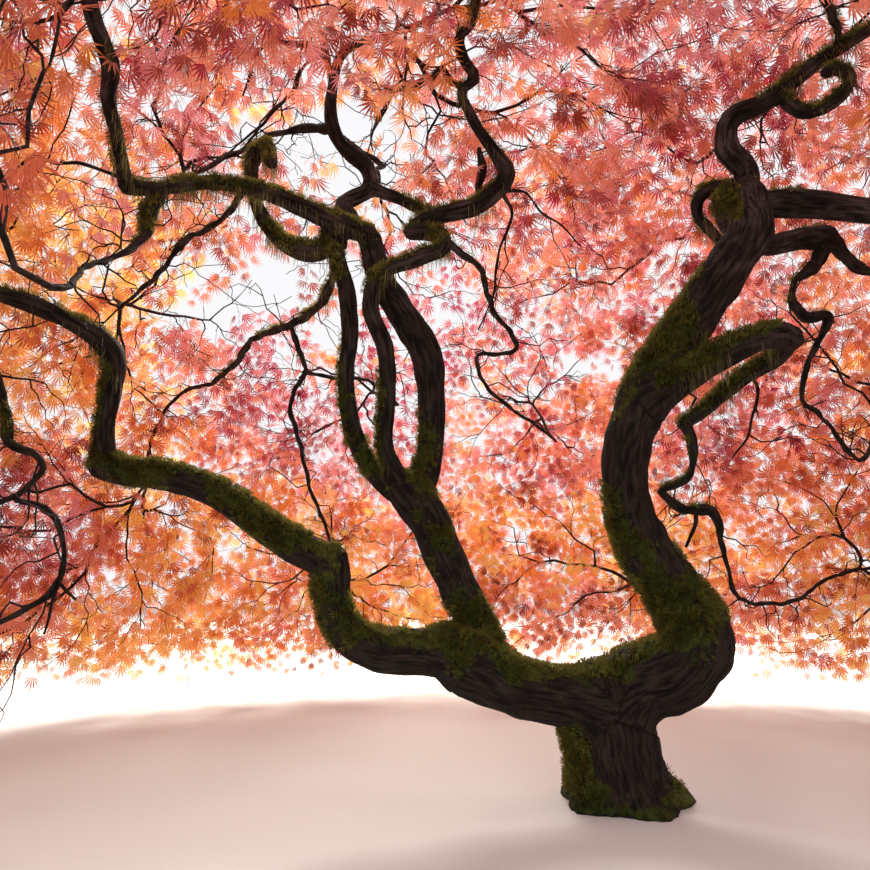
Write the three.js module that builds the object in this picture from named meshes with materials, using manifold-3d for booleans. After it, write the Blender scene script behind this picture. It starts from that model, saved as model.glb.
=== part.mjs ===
// A laceleaf Japanese maple in autumn leaf: a short flared trunk that forks near the ground, contorted
// stems and boughs, and a low weeping crown that is open at the front. Millimetres, +Z up, and +Y away
// from the open side. The origin is on the ground, in the middle of the trunk's flat foot.
import * as THREE from "three";
import { mergeVertices } from "three/addons/utils/BufferGeometryUtils.js";
import Module from "manifold-3d";

const wasm = await Module();
wasm.setup();

// Driving dimensions of the crown: a dome about a heart that stands over the trunk
const HEART = new THREE.Vector3(-200, 150, 350);
const CROWN_HEIGHT = 2680;
const CROWN_HALF_WIDTH = 2330;
const CROWN_HALF_DEPTH = 2060;
const CROWN_SQUARENESS = 2.35;
const BILLOW = 0.045;
const BILLOWS_ROUND = 7;

// Leaves hang in a shell under the dome: these are shares of the way from the heart to its surface
const SHELL_OUTER = 0.97;
const SHELL_INNER = 0.76;
const FRONT_SHELL_INNER = 0.78;

// Twigs: how many a mass has, how thick they are, and where their tips and joins may lie
const TWIGS_IN_A_MASS = 7;
const TIPS_TRIED = 26;
const STEM_RADIUS = 17;
const STEM_SHARE = 0.85;
const STEM_REACH = 0.45;
const FOOT_LENGTHS = 2;
const TWIG_RADIUS = 7;
const TWIG_END_RADIUS = 5;
const TWIG_TAPER = 0.8;
const ROOT_SHARE = 0.42;
const TIPS_ROUND = [0.07, 0.93];
const TIPS_RISE = [0.2, 0.95];
const JOIN_BACK = 0.25;
const JOIN_RANGE = [0.25, 0.85];
const JOINS_TRIED = 5;
const WALK_COST = 0.3;
const SHARPEST_TURN = -0.4;
const PLACES_ON_THE_WAY = [0.15, 0.4, 0.65, 0.9];

// Leaf sprays: their number and size, where they stand along a twig, and the fan angles they may take
const SIDE_SPRAYS_IN_A_MASS = 13;
const SPRAY_LENGTH = 410;
const SPRAY_WIDTH = 250;
const SPRAY_THICKNESS = 8;
const WIDEST_PLACE = 0.46;
const SIDE_PLACES = [0.8, 0.58, 0.36];
const SIDE_FAN_DEG = [62, 95, 36, 125];
const TIP_FAN_DEG = [0, 28, -28, 58, -58];
const DROOP_SIDE_TO_TOP = [0.74, 0.26];
const SPACE_MARGIN = 22;

// The gap at which neighbouring solids are seated, and how finely their corners are kept
const CLEARANCE = 0.3;
const FINEST_EDGE = 0.05;
const ROUNDING = 0.01;

// Where the ring stands that rounds off a blunt limb's end
const KNUCKLE_LEAN_DEG = 50;

// The trunk's root flare: ridges that die out with height
const ROOT_RIDGES = 5;
const ROOT_RIDGE_SHARE = 0.13;
const ROOT_RIDGE_HEIGHT = 130;

// Each limb is given by the places where it bends, as [right, back, up, thickness]. It starts inside an
// earlier one and is cut back from it. A blunt limb ends in a round knuckle, inside which later ones may
// start, and any other ends flat where it enters its mass of leaves.
const LIMBS = {
  trunk: { sides: 15, blunt: true, smooth: 2, bends: [
    [0, 0, 0, 312], [-14, 0, 60, 262], [-34, 0, 145, 244], [-42, 0, 215, 236]] },
  right_stem: { sides: 10, blunt: true, bends: [
    [-40, 0, 205, 196], [50, 0, 272, 200], [158, -36, 324, 198], [194, -30, 395, 186],
    [157, 20, 490, 166], [91, 50, 615, 146], [61, 60, 765, 130], [73, 50, 905, 136],
    [130, 20, 1050, 148], [240, 0, 1220, 138], [355, -20, 1380, 126], [440, -10, 1500, 122],
    [438, 14, 1600, 118]] },
  left_stem: { sides: 10, blunt: true, bends: [
    [-40, 0, 218, 170], [-160, -20, 250, 150], [-270, -30, 272, 152], [-375, -30, 322, 166],
    [-432, -24, 350, 142]] },
  left_low: { sides: 9, blunt: true, bends: [
    [-385, -30, 330, 122], [-470, -40, 348, 118], [-595, -60, 360, 107], [-673, -80, 395, 100],
    [-711, -80, 475, 97], [-725, -55, 565, 106]] },
  left_mid: { sides: 9, blunt: true, bends: [
    [-725, -55, 565, 96], [-805, -42, 605, 91], [-910, -24, 672, 92], [-1020, -24, 745, 84],
    [-1145, -40, 785, 83], [-1250, -60, 796, 82], [-1305, -78, 812, 78]] },
  left_rise: { sides: 8, bends: [
    [-1302, -80, 815, 62], [-1302, -100, 900, 56], [-1285, -120, 1000, 58], [-1278, -140, 1085, 62],
    [-1335, -180, 1136, 54], [-1485, -290, 1185, 44], [-1640, -360, 1180, 36]] },
  left_weeper: { sides: 5, bends: [
    [-1545, -320, 1190, 28], [-1470, -385, 1040, 28], [-1370, -420, 895, 27], [-1335, -440, 792, 24],
    [-1270, -460, 769, 15], [-1241, -470, 740, 13], [-1263, -480, 697, 13], [-1286, -480, 679, 13],
    [-1234, -490, 662, 12], [-1188, -500, 628, 12], [-1169, -500, 563, 12], [-1170, -510, 513, 12],
    [-1240, -520, 450, 12], [-1370, -515, 420, 12], [-1500, -490, 480, 12]] },
  mid_stem: { sides: 9, blunt: true, bends: [
    [-335, -10, 335, 120], [-352, 28, 415, 112], [-400, 60, 515, 111], [-445, 80, 610, 114],
    [-490, 100, 710, 120], [-535, 110, 770, 124]] },
  mid_left: { sides: 7, blunt: true, bends: [
    [-565, 108, 765, 66], [-645, 100, 840, 60], [-695, 80, 955, 56], [-712, 60, 1090, 53],
    [-704, 50, 1230, 51], [-725, 50, 1390, 49], [-782, 92, 1535, 48]] },
  mid_right: { sides: 9, blunt: true, bends: [
    [-515, 118, 760, 90], [-475, 140, 885, 82], [-470, 140, 1040, 87], [-490, 140, 1185, 93],
    [-560, 140, 1310, 92], [-625, 140, 1425, 84], [-660, 140, 1545, 80]] },
  mid_centre: { sides: 7, blunt: true, bends: [
    [-550, 90, 780, 60], [-595, 40, 880, 52], [-592, 20, 1015, 52], [-598, 15, 1150, 50],
    [-642, 18, 1275, 48], [-625, 15, 1370, 48], [-530, 15, 1418, 51], [-440, 28, 1468, 54],
    [-452, 76, 1532, 56], [-530, 104, 1556, 54]] },
  upper_curl: { sides: 6, bends: [
    [-535, 110, 1575, 46], [-445, 90, 1600, 58], [-325, 50, 1618, 58], [-251, 0, 1681, 54],
    [-291, -40, 1729, 42], [-339, -85, 1766, 34], [-371, -120, 1810, 33], [-391, -145, 1848, 33],
    [-348, -165, 1866, 35], [-384, -200, 1904, 34], [-396, -240, 1932, 32], [-367, -290, 1936, 30],
    [-350, -470, 1930, 28], [-290, -640, 1880, 26]] },
  high_left: { sides: 7, blunt: true, bends: [
    [-650, 140, 1560, 68], [-725, 100, 1568, 66], [-830, 40, 1590, 60], [-950, -30, 1610, 52],
    [-1085, -100, 1594, 47], [-1185, -170, 1535, 43], [-1242, -235, 1502, 44]] },
  high_left_rise: { sides: 7, bends: [
    [-1242, -238, 1505, 40], [-1224, -330, 1540, 40], [-1211, -380, 1558, 40], [-1207, -440, 1598, 41],
    [-1179, -500, 1628, 42], [-1168, -560, 1640, 38], [-1173, -600, 1662, 36], [-1150, -680, 1700, 34],
    [-1080, -780, 1770, 30]] },
  droop_left: { sides: 5, bends: [
    [-1175, -165, 1540, 36], [-1192, -170, 1506, 40], [-1198, -190, 1446, 40], [-1196, -220, 1382, 34],
    [-1197, -260, 1324, 21], [-1206, -320, 1269, 15], [-1204, -420, 1206, 14], [-1182, -520, 1140, 14],
    [-1128, -660, 1044, 14]] },
  droop_inner: { sides: 5, bends: [
    [-1000, -50, 1600, 25], [-1065, 20, 1565, 22], [-1210, 140, 1550, 20], [-1325, 260, 1515, 18],
    [-1485, 400, 1465, 16]] },
  high_top: { sides: 8, bends: [
    [-700, 130, 1575, 60], [-745, 182, 1690, 56], [-672, 200, 1750, 56], [-676, 200, 1825, 54],
    [-765, 180, 1900, 47], [-795, 160, 1980, 42], [-785, 120, 2060, 38], [-745, 60, 2140, 32],
    [-610, 50, 2190, 26]] },
  top_left: { sides: 5, bends: [
    [-785, 176, 1950, 30], [-885, 200, 1970, 27], [-995, 200, 1950, 22], [-1090, 180, 1870, 18],
    [-1200, 160, 1790, 16]] },
  top_back: { sides: 5, bends: [
    [-780, 170, 1925, 28], [-745, 320, 1990, 24], [-650, 470, 2010, 20], [-680, 620, 2090, 17],
    [-690, 800, 2140, 15]] },
  high_bridge: { sides: 7, blunt: true, bends: [
    [-672, 200, 1760, 42], [-565, 222, 1727, 42], [-470, 195, 1665, 40], [-400, 110, 1625, 34]] },
  knot: { sides: 7, blunt: true, bends: [
    [-735, 120, 1540, 60], [-825, 110, 1495, 72], [-910, 118, 1522, 58], [-990, 130, 1622, 47],
    [-1030, 140, 1730, 46], [-1030, 130, 1812, 54], [-975, 85, 1830, 54], [-950, 48, 1750, 42]] },
  back_left: { sides: 5, bends: [
    [-745, 130, 1500, 34], [-825, 300, 1415, 34], [-955, 450, 1390, 33], [-1110, 600, 1400, 30],
    [-1224, 750, 1344, 27], [-1376, 930, 1317, 20], [-1469, 980, 1314, 18], [-1546, 1000, 1260, 16],
    [-1638, 1040, 1086, 15], [-1640, 1040, 960, 14]] },
  back_left_low: { sides: 5, bends: [
    [-955, 455, 1388, 23], [-942, 550, 1325, 22], [-935, 640, 1285, 21], [-1005, 750, 1185, 19],
    [-980, 850, 1045, 17], [-955, 950, 900, 16], [-900, 1060, 740, 15], [-905, 1260, 640, 14]] },
  back_centre: { sides: 5, bends: [
    [-940, 640, 1280, 18], [-850, 760, 1290, 17], [-740, 880, 1320, 16], [-640, 1060, 1290, 15]] },
  back_mid: { sides: 5, bends: [
    [-425, 60, 1500, 24], [-325, 200, 1480, 22], [-270, 380, 1430, 20], [-170, 550, 1340, 19],
    [-300, 700, 1355, 18], [-255, 820, 1270, 16], [-130, 950, 1205, 15], [-5, 1060, 1150, 14]] },
  top_right: { sides: 8, bends: [
    [442, 14, 1600, 76], [438, -12, 1682, 70], [366, -58, 1732, 66], [368, -100, 1792, 61],
    [455, -130, 1822, 60], [535, -170, 1878, 49], [620, -220, 1922, 45], [720, -290, 1955, 36]] },
  top_right_curl: { sides: 7, blunt: true, bends: [
    [488, -146, 1842, 44], [519, -185, 1753, 43], [555, -220, 1736, 42], [593, -250, 1758, 40],
    [604, -270, 1790, 38], [573, -280, 1808, 34], [540, -284, 1794, 28]] },
  top_right_rise: { sides: 5, bends: [
    [616, -216, 1918, 30], [609, -240, 1956, 26], [581, -270, 1973, 25], [543, -310, 1984, 24],
    [480, -420, 1990, 23], [400, -580, 1950, 22]] },
  right_arm: { sides: 8, bends: [
    [432, 2, 1585, 88], [530, -40, 1565, 84], [625, -80, 1532, 76], [725, -120, 1495, 69],
    [900, -190, 1420, 58], [1110, -280, 1270, 44], [1340, -380, 950, 28]] },
  right_behind: { sides: 8, blunt: true, bends: [
    [440, 20, 1490, 66], [540, 105, 1512, 66], [650, 150, 1552, 70], [755, 182, 1578, 86]] },
  right_far: { sides: 5, bends: [
    [775, 186, 1578, 50], [800, 192, 1546, 46], [841, 200, 1498, 40], [894, 200, 1468, 36],
    [1000, 190, 1440, 30], [1110, 175, 1450, 26], [1230, 150, 1450, 22]] },
  right_weeper: { sides: 5, bends: [
    [755, 182, 1565, 60], [705, 160, 1475, 44], [618, 130, 1410, 28], [598, 120, 1350, 28],
    [638, 120, 1294, 34], [702, 122, 1290, 34], [672, 155, 1205, 21], [645, 215, 1085, 17],
    [760, 300, 1010, 15], [900, 400, 915, 15], [1010, 510, 960, 14], [1110, 620, 1100, 14]] },
  stub_out: { sides: 8, blunt: true, bends: [
    [140, 0, 1012, 96], [235, -80, 1075, 84], [320, -130, 1114, 82], [415, -130, 1142, 76],
    [472, -92, 1148, 70]] },
  stub_back: { sides: 8, blunt: true, bends: [
    [472, -88, 1146, 60], [478, 10, 1131, 58], [426, 90, 1104, 58], [363, 122, 1053, 54],
    [307, 130, 1005, 50], [256, 132, 970, 46]] },
  stub_weeper: { sides: 5, bends: [
    [256, 132, 974, 40], [278, 135, 895, 32], [265, 152, 825, 29], [197, 182, 778, 28],
    [255, 222, 732, 31], [361, 250, 726, 33], [404, 300, 644, 17], [437, 360, 578, 15],
    [478, 420, 488, 14], [620, 560, 455, 14], [800, 690, 470, 14], [980, 810, 540, 14],
    [1150, 900, 580, 14]] },
  back_high: { sides: 7, bends: [
    [432, 14, 1620, 56], [378, 45, 1668, 52], [325, 85, 1652, 48], [322, 125, 1600, 44],
    [375, 205, 1575, 42], [500, 320, 1620, 38], [640, 520, 1760, 34], [740, 700, 1920, 30],
    [835, 860, 2070, 24]] },
  back_right: { sides: 5, bends: [
    [290, 20, 1320, 32], [330, 200, 1385, 26], [420, 400, 1440, 23], [500, 640, 1430, 21],
    [525, 890, 1330, 18]] },
  back_low: { sides: 5, bends: [
    [100, 50, 500, 28], [200, 300, 472, 24], [346, 550, 450, 23], [450, 830, 400, 20],
    [500, 1100, 430, 18], [500, 1380, 500, 16]] },
};

// Each mass of leaves fills one wedge of the dome: the degrees that it spans round the heart, counted
// from the right towards the back, and the degrees that it spans above the heart's level.
const SPACES = {
  skirt_right_front: { bough: "right_arm", round: [-35, 6], rise: [-4, 24] },
  skirt_right: { bough: "stub_weeper", round: [6, 50], rise: [-4, 24] },
  skirt_back_right: { bough: "back_low", round: [50, 92], rise: [-4, 24] },
  skirt_back: { bough: "back_left_low", round: [92, 136], rise: [-4, 24] },
  skirt_back_left: { bough: "back_left", round: [136, 176], rise: [-4, 24] },
  skirt_left: { bough: "left_weeper", round: [176, 224], rise: [-4, 24] },
  side_right_front: { bough: "right_far", round: [-35, 8], rise: [24, 50] },
  side_right: { bough: "right_weeper", round: [8, 40], rise: [24, 50] },
  side_back_right: { bough: "back_right", round: [40, 66], rise: [24, 50] },
  side_back: { bough: "back_mid", round: [66, 100], rise: [24, 50] },
  side_back_left: { bough: "back_centre", round: [100, 137], rise: [24, 50] },
  side_left_back: { bough: "droop_inner", round: [137, 175], rise: [24, 50] },
  side_left: { bough: "left_rise", round: [175, 210], rise: [24, 50] },
  side_left_front: { bough: "droop_left", round: [210, 236], rise: [22, 42] },
  brow_left: { bough: "high_left_rise", round: [206, 245], rise: [42, 70], front: true },
  brow_middle: { bough: "upper_curl", round: [245, 284], rise: [38, 70], front: true },
  brow_right: { bough: "top_right_rise", round: [284, 320], rise: [38, 70], front: true },
  top_right_mass: { bough: "top_right", round: [-40, 22], rise: [50, 70] },
  top_back_right: { bough: "back_high", round: [22, 88], rise: [50, 70] },
  top_back_left: { bough: "top_back", round: [88, 146], rise: [50, 70] },
  top_left_mass: { bough: "top_left", round: [146, 206], rise: [50, 70] },
  crown_top: { bough: "high_top", round: [0, 360], rise: [70, 90] },
};

const COLOURS = {
  bark: { color: 0x3a2c22, roughness: 0.95, metalness: 0 },
  leaves: { color: 0xd65f45, roughness: 0.7, metalness: 0 },
};

const vector = ([x, y, z]) => new THREE.Vector3(x, y, z);
const { degToRad: degrees, lerp, clamp } = THREE.MathUtils;

// Numbers from 0 to 1 that fill the range evenly, however many are drawn
function evenly(index, base) {
  let share = 1 / base;
  let sum = 0;
  for (let rest = index; rest > 0; rest = Math.floor(rest / base)) {
    sum += (rest % base) * share;
    share /= base;
  }
  return sum;
}

// A closed solid from points and triangles
function solidFrom(points, triangles) {
  const geometry = new THREE.BufferGeometry().setFromPoints(points).setIndex(triangles.flat());
  const merged = mergeVertices(geometry, 1e-3);
  return new wasm.Manifold(new wasm.Mesh({
    numProp: 3,
    vertProperties: merged.attributes.position.array,
    triVerts: new Uint32Array(merged.index.array),
  }));
}

// The triangles that close a flat ring, facing the way that the ring turns round
function capOf(ring) {
  const middle = centreOf(ring);
  const spokes = ring.map((point) => point.clone().sub(middle));
  const normal = new THREE.Vector3();
  spokes.forEach((spoke, i) => normal.add(spoke.clone().cross(spokes[(i + 1) % spokes.length])));
  const along = spokes[0].clone().normalize();
  const across = normal.normalize().clone().cross(along);
  const flat = spokes.map((spoke) => new THREE.Vector2(spoke.dot(along), spoke.dot(across)));
  return THREE.ShapeUtils.triangulateShape(flat, []);
}

function centreOf(ring) {
  const sum = ring.reduce((total, point) => total.add(point), new THREE.Vector3());
  return sum.divideScalar(ring.length);
}

// Joins rings of points into a closed skin. All have the same count, but for a single point at an end.
function loft(rings) {
  const sides = rings[1].length;
  const triangles = [];
  let low = 0;
  if (rings[0].length > 1) triangles.push(...capOf(rings[0]).map(([a, b, c]) => [c, b, a]));
  for (let r = 0; r < rings.length - 1; r++) {
    const high = low + rings[r].length;
    for (let s = 0; s < sides; s++) {
      const [a, b] = rings[r].length === 1 ? [low, low] : [low + s, low + (s + 1) % sides];
      const [c, d] = rings[r + 1].length === 1 ? [high, high] : [high + s, high + (s + 1) % sides];
      if (a !== b) triangles.push([a, b, d]);
      if (c !== d) triangles.push([a, d, c]);
    }
    low = high;
  }
  const last = rings.at(-1);
  if (last.length > 1) triangles.push(...capOf(last).map((corners) => corners.map((corner) => low + corner)));
  return solidFrom(rings.flat(), triangles);
}

// The stations along a limb's centre line, one at each place where it gets a ring
function stationsOf({ bends, smooth = 1 }) {
  const curve = new THREE.CatmullRomCurve3(bends.map(vector), false, "centripetal");
  const spans = bends.length - 1;
  return Array.from({ length: spans * smooth + 1 }, (_, r) => {
    const place = r / smooth;
    const before = Math.min(Math.floor(place), spans - 1);
    const thickness = lerp(bends[before][3], bends[before + 1][3], place - before);
    const t = place / spans;
    return { at: curve.getPoint(t), along: curve.getTangent(t), radius: thickness / 2 };
  });
}

// How far a root ridge stands out of the trunk at a height and an angle round it
function rootRidge(height, angle) {
  const left = Math.max(0, 1 - height / ROOT_RIDGE_HEIGHT);
  return 1 + ROOT_RIDGE_SHARE * left * left * Math.cos(ROOT_RIDGES * angle);
}

const squareTo = (along, across) => across.clone().addScaledVector(along, -across.dot(along)).normalize();

// Rings square to the way along at each station, all with the same count of corners and none twisted
// against the one before it. The first corner starts out nearest to the side that is asked for.
function ringsAt(stations, across, sides, ridgeAt = () => 1) {
  let side = across;
  return stations.map(({ at, radius, along }) => {
    side = squareTo(along, side);
    const up = along.clone().cross(side);
    return Array.from({ length: sides }, (_, s) => {
      const angle = (2 * Math.PI * s) / sides;
      const reach = radius * ridgeAt(at.z, angle);
      return at.clone()
        .addScaledVector(side, reach * Math.cos(angle))
        .addScaledVector(up, reach * Math.sin(angle));
    });
  });
}

// One tapering limb, swollen by a clearance where it is only used to cut its neighbours back
function limbSolid(name, stations, swelling) {
  const { sides, blunt } = LIMBS[name];
  const isTrunk = name === "trunk";
  const thicker = swelling / Math.cos(Math.PI / sides);
  const rings = stations.map((station) => (
    { ...station, at: station.at.clone(), radius: station.radius + thicker }));
  if (isTrunk) for (const ring of rings) ring.along = new THREE.Vector3(0, 0, 1);
  rings[0].at.addScaledVector(rings[0].along, -swelling);
  const last = rings.at(-1);
  if (blunt) {
    const lean = degrees(KNUCKLE_LEAN_DEG);
    const at = last.at.clone().addScaledVector(last.along, last.radius * Math.sin(lean));
    rings.push({ ...last, at, radius: last.radius * Math.cos(lean) });
  } else {
    last.at.addScaledVector(last.along, swelling);
  }
  const across = new THREE.Vector3(1, 0, 0);
  return loft(ringsAt(rings, across, sides, isTrunk ? rootRidge : undefined));
}

function boxesMeet(a, b) {
  const [one, two] = [a.boundingBox(), b.boundingBox()];
  return [0, 1, 2].every((i) => one.min[i] < two.max[i] && two.min[i] < one.max[i]);
}

// The largest body of a solid, with its tiniest edges dropped and its corners rounded to a grid, or null
// where the rounding would leave an edge without exactly two faces
function tidied(solid) {
  const bodies = solid.simplify(FINEST_EDGE).decompose();
  const largest = bodies.reduce((a, b) => (b.volume() > a.volume() ? b : a));
  const { vertProperties, triVerts, numProp } = largest.getMesh();
  const numbers = new Map();
  const points = [];
  const numberOf = (corner) => {
    const place = vertProperties.subarray(corner * numProp, corner * numProp + 3);
    const rounded = [...place].map((value) => Math.round(value / ROUNDING) * ROUNDING);
    const key = rounded.map((value) => value.toFixed(3)).join();
    if (!numbers.has(key)) numbers.set(key, points.push(vector(rounded)) - 1);
    return numbers.get(key);
  };
  const triangles = [];
  const edges = new Map();
  for (let t = 0; t < triVerts.length; t += 3) {
    const corners = [...triVerts.subarray(t, t + 3)].map(numberOf);
    if (new Set(corners).size < 3) continue;
    triangles.push(corners);
    corners.forEach((corner, i) => {
      const edge = [corner, corners[(i + 1) % 3]].sort().join();
      edges.set(edge, (edges.get(edge) ?? 0) + 1);
    });
  }
  return [...edges.values()].every((faces) => faces === 2) ? solidFrom(points, triangles) : null;
}

// Grows every limb in turn, each cut back to a clearance from those before it
function growLimbs() {
  const grown = {};
  for (const name of Object.keys(LIMBS)) {
    const stations = stationsOf(LIMBS[name]);
    let solid = limbSolid(name, stations, 0);
    for (const other of Object.values(grown))
      if (boxesMeet(solid, other.swollen)) solid = solid.subtract(other.swollen);
    const swollen = limbSolid(name, stations, CLEARANCE);
    grown[name] = { end: stations.at(-1), solid: tidied(solid), swollen };
  }
  return grown;
}

// How far the dome's surface lies from the heart, in a direction given by two angles
function domeReach(round, rise) {
  const flat = Math.hypot(Math.cos(round) / CROWN_HALF_WIDTH, Math.sin(round) / CROWN_HALF_DEPTH);
  const across = (Math.cos(rise) * flat) ** CROWN_SQUARENESS;
  const upward = (Math.abs(Math.sin(rise)) / (CROWN_HEIGHT - HEART.z)) ** CROWN_SQUARENESS;
  const billow = 1 - BILLOW * (0.5 - 0.5 * Math.cos(BILLOWS_ROUND * round) * Math.cos(rise));
  return billow * (across + upward) ** (-1 / CROWN_SQUARENESS);
}

function domePoint(round, rise, share) {
  const reach = share * domeReach(round, rise);
  return new THREE.Vector3(
    reach * Math.cos(rise) * Math.cos(round),
    reach * Math.cos(rise) * Math.sin(round),
    reach * Math.sin(rise)).add(HEART);
}

// True where a point lies in a mass's wedge, a margin clear of the wedges beside it
function inSpace(space, point) {
  const from = point.clone().sub(HEART);
  const level = Math.hypot(from.x, from.y);
  const rise = Math.atan2(from.z, level);
  const middle = degrees((space.round[0] + space.round[1]) / 2);
  const half = degrees((space.round[1] - space.round[0]) / 2);
  const [low, high] = space.rise.map(degrees);
  const bearing = Math.atan2(from.y, from.x) - middle;
  const turn = Math.atan2(Math.sin(bearing), Math.cos(bearing));
  const slack = SPACE_MARGIN / from.length();
  const beside = half >= Math.PI || Math.abs(turn) < half - SPACE_MARGIN / level;
  const above = rise > low + slack;
  const below = high >= Math.PI / 2 || rise < high - slack;
  return beside && above && below && from.length() < domeReach(turn + middle, rise) && point.z > SPACE_MARGIN;
}

// The places in a mass that its twigs reach for
function twigTips(space) {
  const [low, high] = space.rise.map(degrees);
  const [from, to] = space.round.map(degrees);
  const inner = space.front ? FRONT_SHELL_INNER : SHELL_INNER;
  return Array.from({ length: TIPS_TRIED }, (_, i) => {
    const [across, up, out] = [2, 3, 5].map((base) => evenly(i + 1, base));
    const round = lerp(from, to, lerp(...TIPS_ROUND, across));
    const rise = lerp(low, high, lerp(...TIPS_RISE, up));
    return domePoint(round, rise, lerp(inner, SHELL_OUTER, out));
  });
}

// The places on older twigs that a new one could start from, the one that costs it the least way first
function joinsFor(to, twigs) {
  const joins = twigs.map((parent) => {
    const line = new THREE.Line3(parent.from, parent.to);
    const nearest = line.closestPointToPointParameter(to, true);
    const from = line.at(clamp(nearest - JOIN_BACK, ...JOIN_RANGE), new THREE.Vector3());
    const walk = parent.walk + from.distanceTo(parent.from);
    const radius = Math.max(TWIG_RADIUS, parent.radius * TWIG_TAPER);
    const root = parent.radius * ROOT_SHARE;
    return { parent, from, to, walk, radius, root, cost: from.distanceTo(to) + WALK_COST * walk };
  });
  return joins.sort((a, b) => a.cost - b.cost).slice(0, JOINS_TRIED);
}

// The way that a spray hangs: down at the crown's sides and more level on its top, turned by a fan angle
function hangingWay(at, fanDeg) {
  const outward = at.clone().sub(HEART).normalize();
  const level = new THREE.Vector3(outward.x, outward.y, 0).normalize();
  const drop = lerp(...DROOP_SIDE_TO_TOP, outward.z);
  const way = new THREE.Vector3(0, 0, -drop).addScaledVector(level, 1 - drop);
  return way.applyAxisAngle(outward, degrees(fanDeg)).normalize();
}

// A leaf spray as a thin kite with a ridge along its outer face. It runs on from a twig where one is
// given, or else starts at its root, inside the twig that carries it.
function sprayPiece(root, fanDeg, twig) {
  const outward = root.clone().sub(HEART).normalize();
  const along = hangingWay(root, fanDeg);
  const across = new THREE.Vector3().crossVectors(along, outward).normalize();
  const face = new THREE.Vector3().crossVectors(across, along);
  const middle = root.clone().addScaledVector(along, WIDEST_PLACE * SPRAY_LENGTH);
  const tip = root.clone().addScaledVector(along, SPRAY_LENGTH);
  const wide = [SPRAY_WIDTH / 2, -SPRAY_WIDTH / 2, 0].map((aside) =>
    middle.clone().addScaledVector(across, aside).addScaledVector(face, aside === 0 ? SPRAY_THICKNESS : 0));
  const rings = [[root], wide, [tip]];
  let straightness = 1;
  if (twig) {
    const way = wayOf(twig);
    const bisector = way.clone().add(along).normalize();
    const stations = [
      { at: root, along: bisector, radius: TWIG_END_RADIUS },
      { at: twig.from, along: way, radius: twig.root }];
    rings.splice(0, 1, ...ringsAt(stations, across, 3).reverse());
    straightness = way.dot(along);
  }
  return { solid: loft(rings), places: [root, tip, ...wide], straightness };
}

const wayOf = ({ from, to }) => to.clone().sub(from).normalize();

// A twig that runs on into its spray, with the places that must lie in the mass's space
function twigPiece(join, fanDeg) {
  const line = new THREE.Line3(join.from, join.to);
  const onTheWay = PLACES_ON_THE_WAY.map((share) => line.at(share, new THREE.Vector3()));
  const { solid, places, straightness } = sprayPiece(join.to, fanDeg, join);
  return { ...join, solid, places: [...places, ...onTheWay], straightness };
}

// The stem that meets a bough's flat tip, and bends from there towards the middle of its mass
function stemOf(space, bough) {
  const { at, along, radius: room } = bough.end;
  const [round, rise] = [space.round, space.rise].map(([low, high]) => degrees((low + high) / 2));
  const radius = Math.min(STEM_RADIUS, STEM_SHARE * room);
  const foot = at.clone().addScaledVector(along, CLEARANCE);
  const from = foot.clone().addScaledVector(along, FOOT_LENGTHS * radius);
  const to = from.clone().lerp(domePoint(round, rise, SHELL_OUTER), STEM_REACH);
  const way = wayOf({ from, to });
  const stations = [
    { at: foot, along, radius },
    { at: from, along: way.clone().add(along).normalize(), radius },
    { at: to, along: way, radius: radius * TWIG_TAPER }];
  return { from, to, radius, walk: 0, solid: loft(ringsAt(stations, new THREE.Vector3(1, 0, 0), 3)) };
}

// One mass of leaves, fused piece by piece into a single solid. A twig or spray is left out where it
// would leave the mass's space, touch a limb, cross what has grown or fuse badly.
function massSolid(space, grown) {
  const bough = grown[space.bough];
  const limbs = Object.values(grown).map(({ swollen }) => swollen);
  const twigs = [stemOf(space, bough)];
  const pieces = [...twigs];
  let mass = twigs[0].solid;
  const takes = (piece, carrier) => {
    const others = pieces.filter((other) => other !== carrier).map((other) => other.solid);
    const crosses = (other) => boxesMeet(piece.solid, other) && !piece.solid.intersect(other).isEmpty();
    const keepsIn = piece.places.every((place) => inSpace(space, place));
    const joined = keepsIn && ![...limbs, ...others].some(crosses) && tidied(mass.add(piece.solid));
    if (!joined) return false;
    mass = joined;
    pieces.push(piece);
    return true;
  };
  for (const to of twigTips(space)) {
    if (twigs.length > TWIGS_IN_A_MASS) break;
    const tries = joinsFor(to, twigs).flatMap((join) => TIP_FAN_DEG.map((fan) => twigPiece(join, fan)));
    const twig = tries.find((piece) => piece.straightness > SHARPEST_TURN && takes(piece, piece.parent));
    if (twig) twigs.push(twig);
  }
  const places = SIDE_PLACES.flatMap((share) => twigs.slice(1).map((twig) => ({ share, twig })));
  let left = SIDE_SPRAYS_IN_A_MASS;
  places.forEach(({ share, twig }, index) => {
    const root = twig.from.clone().lerp(twig.to, share);
    const side = index % 2 ? 1 : -1;
    if (left > 0 && SIDE_FAN_DEG.some((fan) => takes(sprayPiece(root, side * fan), twig))) left -= 1;
  });
  return mass;
}

function meshOf(name, solid, finish) {
  const { vertProperties, triVerts, numProp } = solid.getMesh();
  const geometry = new THREE.BufferGeometry();
  const places = new THREE.InterleavedBuffer(vertProperties, numProp);
  geometry.setAttribute("position", new THREE.InterleavedBufferAttribute(places, 3, 0));
  geometry.setIndex(new THREE.BufferAttribute(triVerts, 1));
  const mesh = new THREE.Mesh(geometry, new THREE.MeshStandardMaterial(COLOURS[finish]));
  mesh.name = name;
  return mesh;
}

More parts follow.
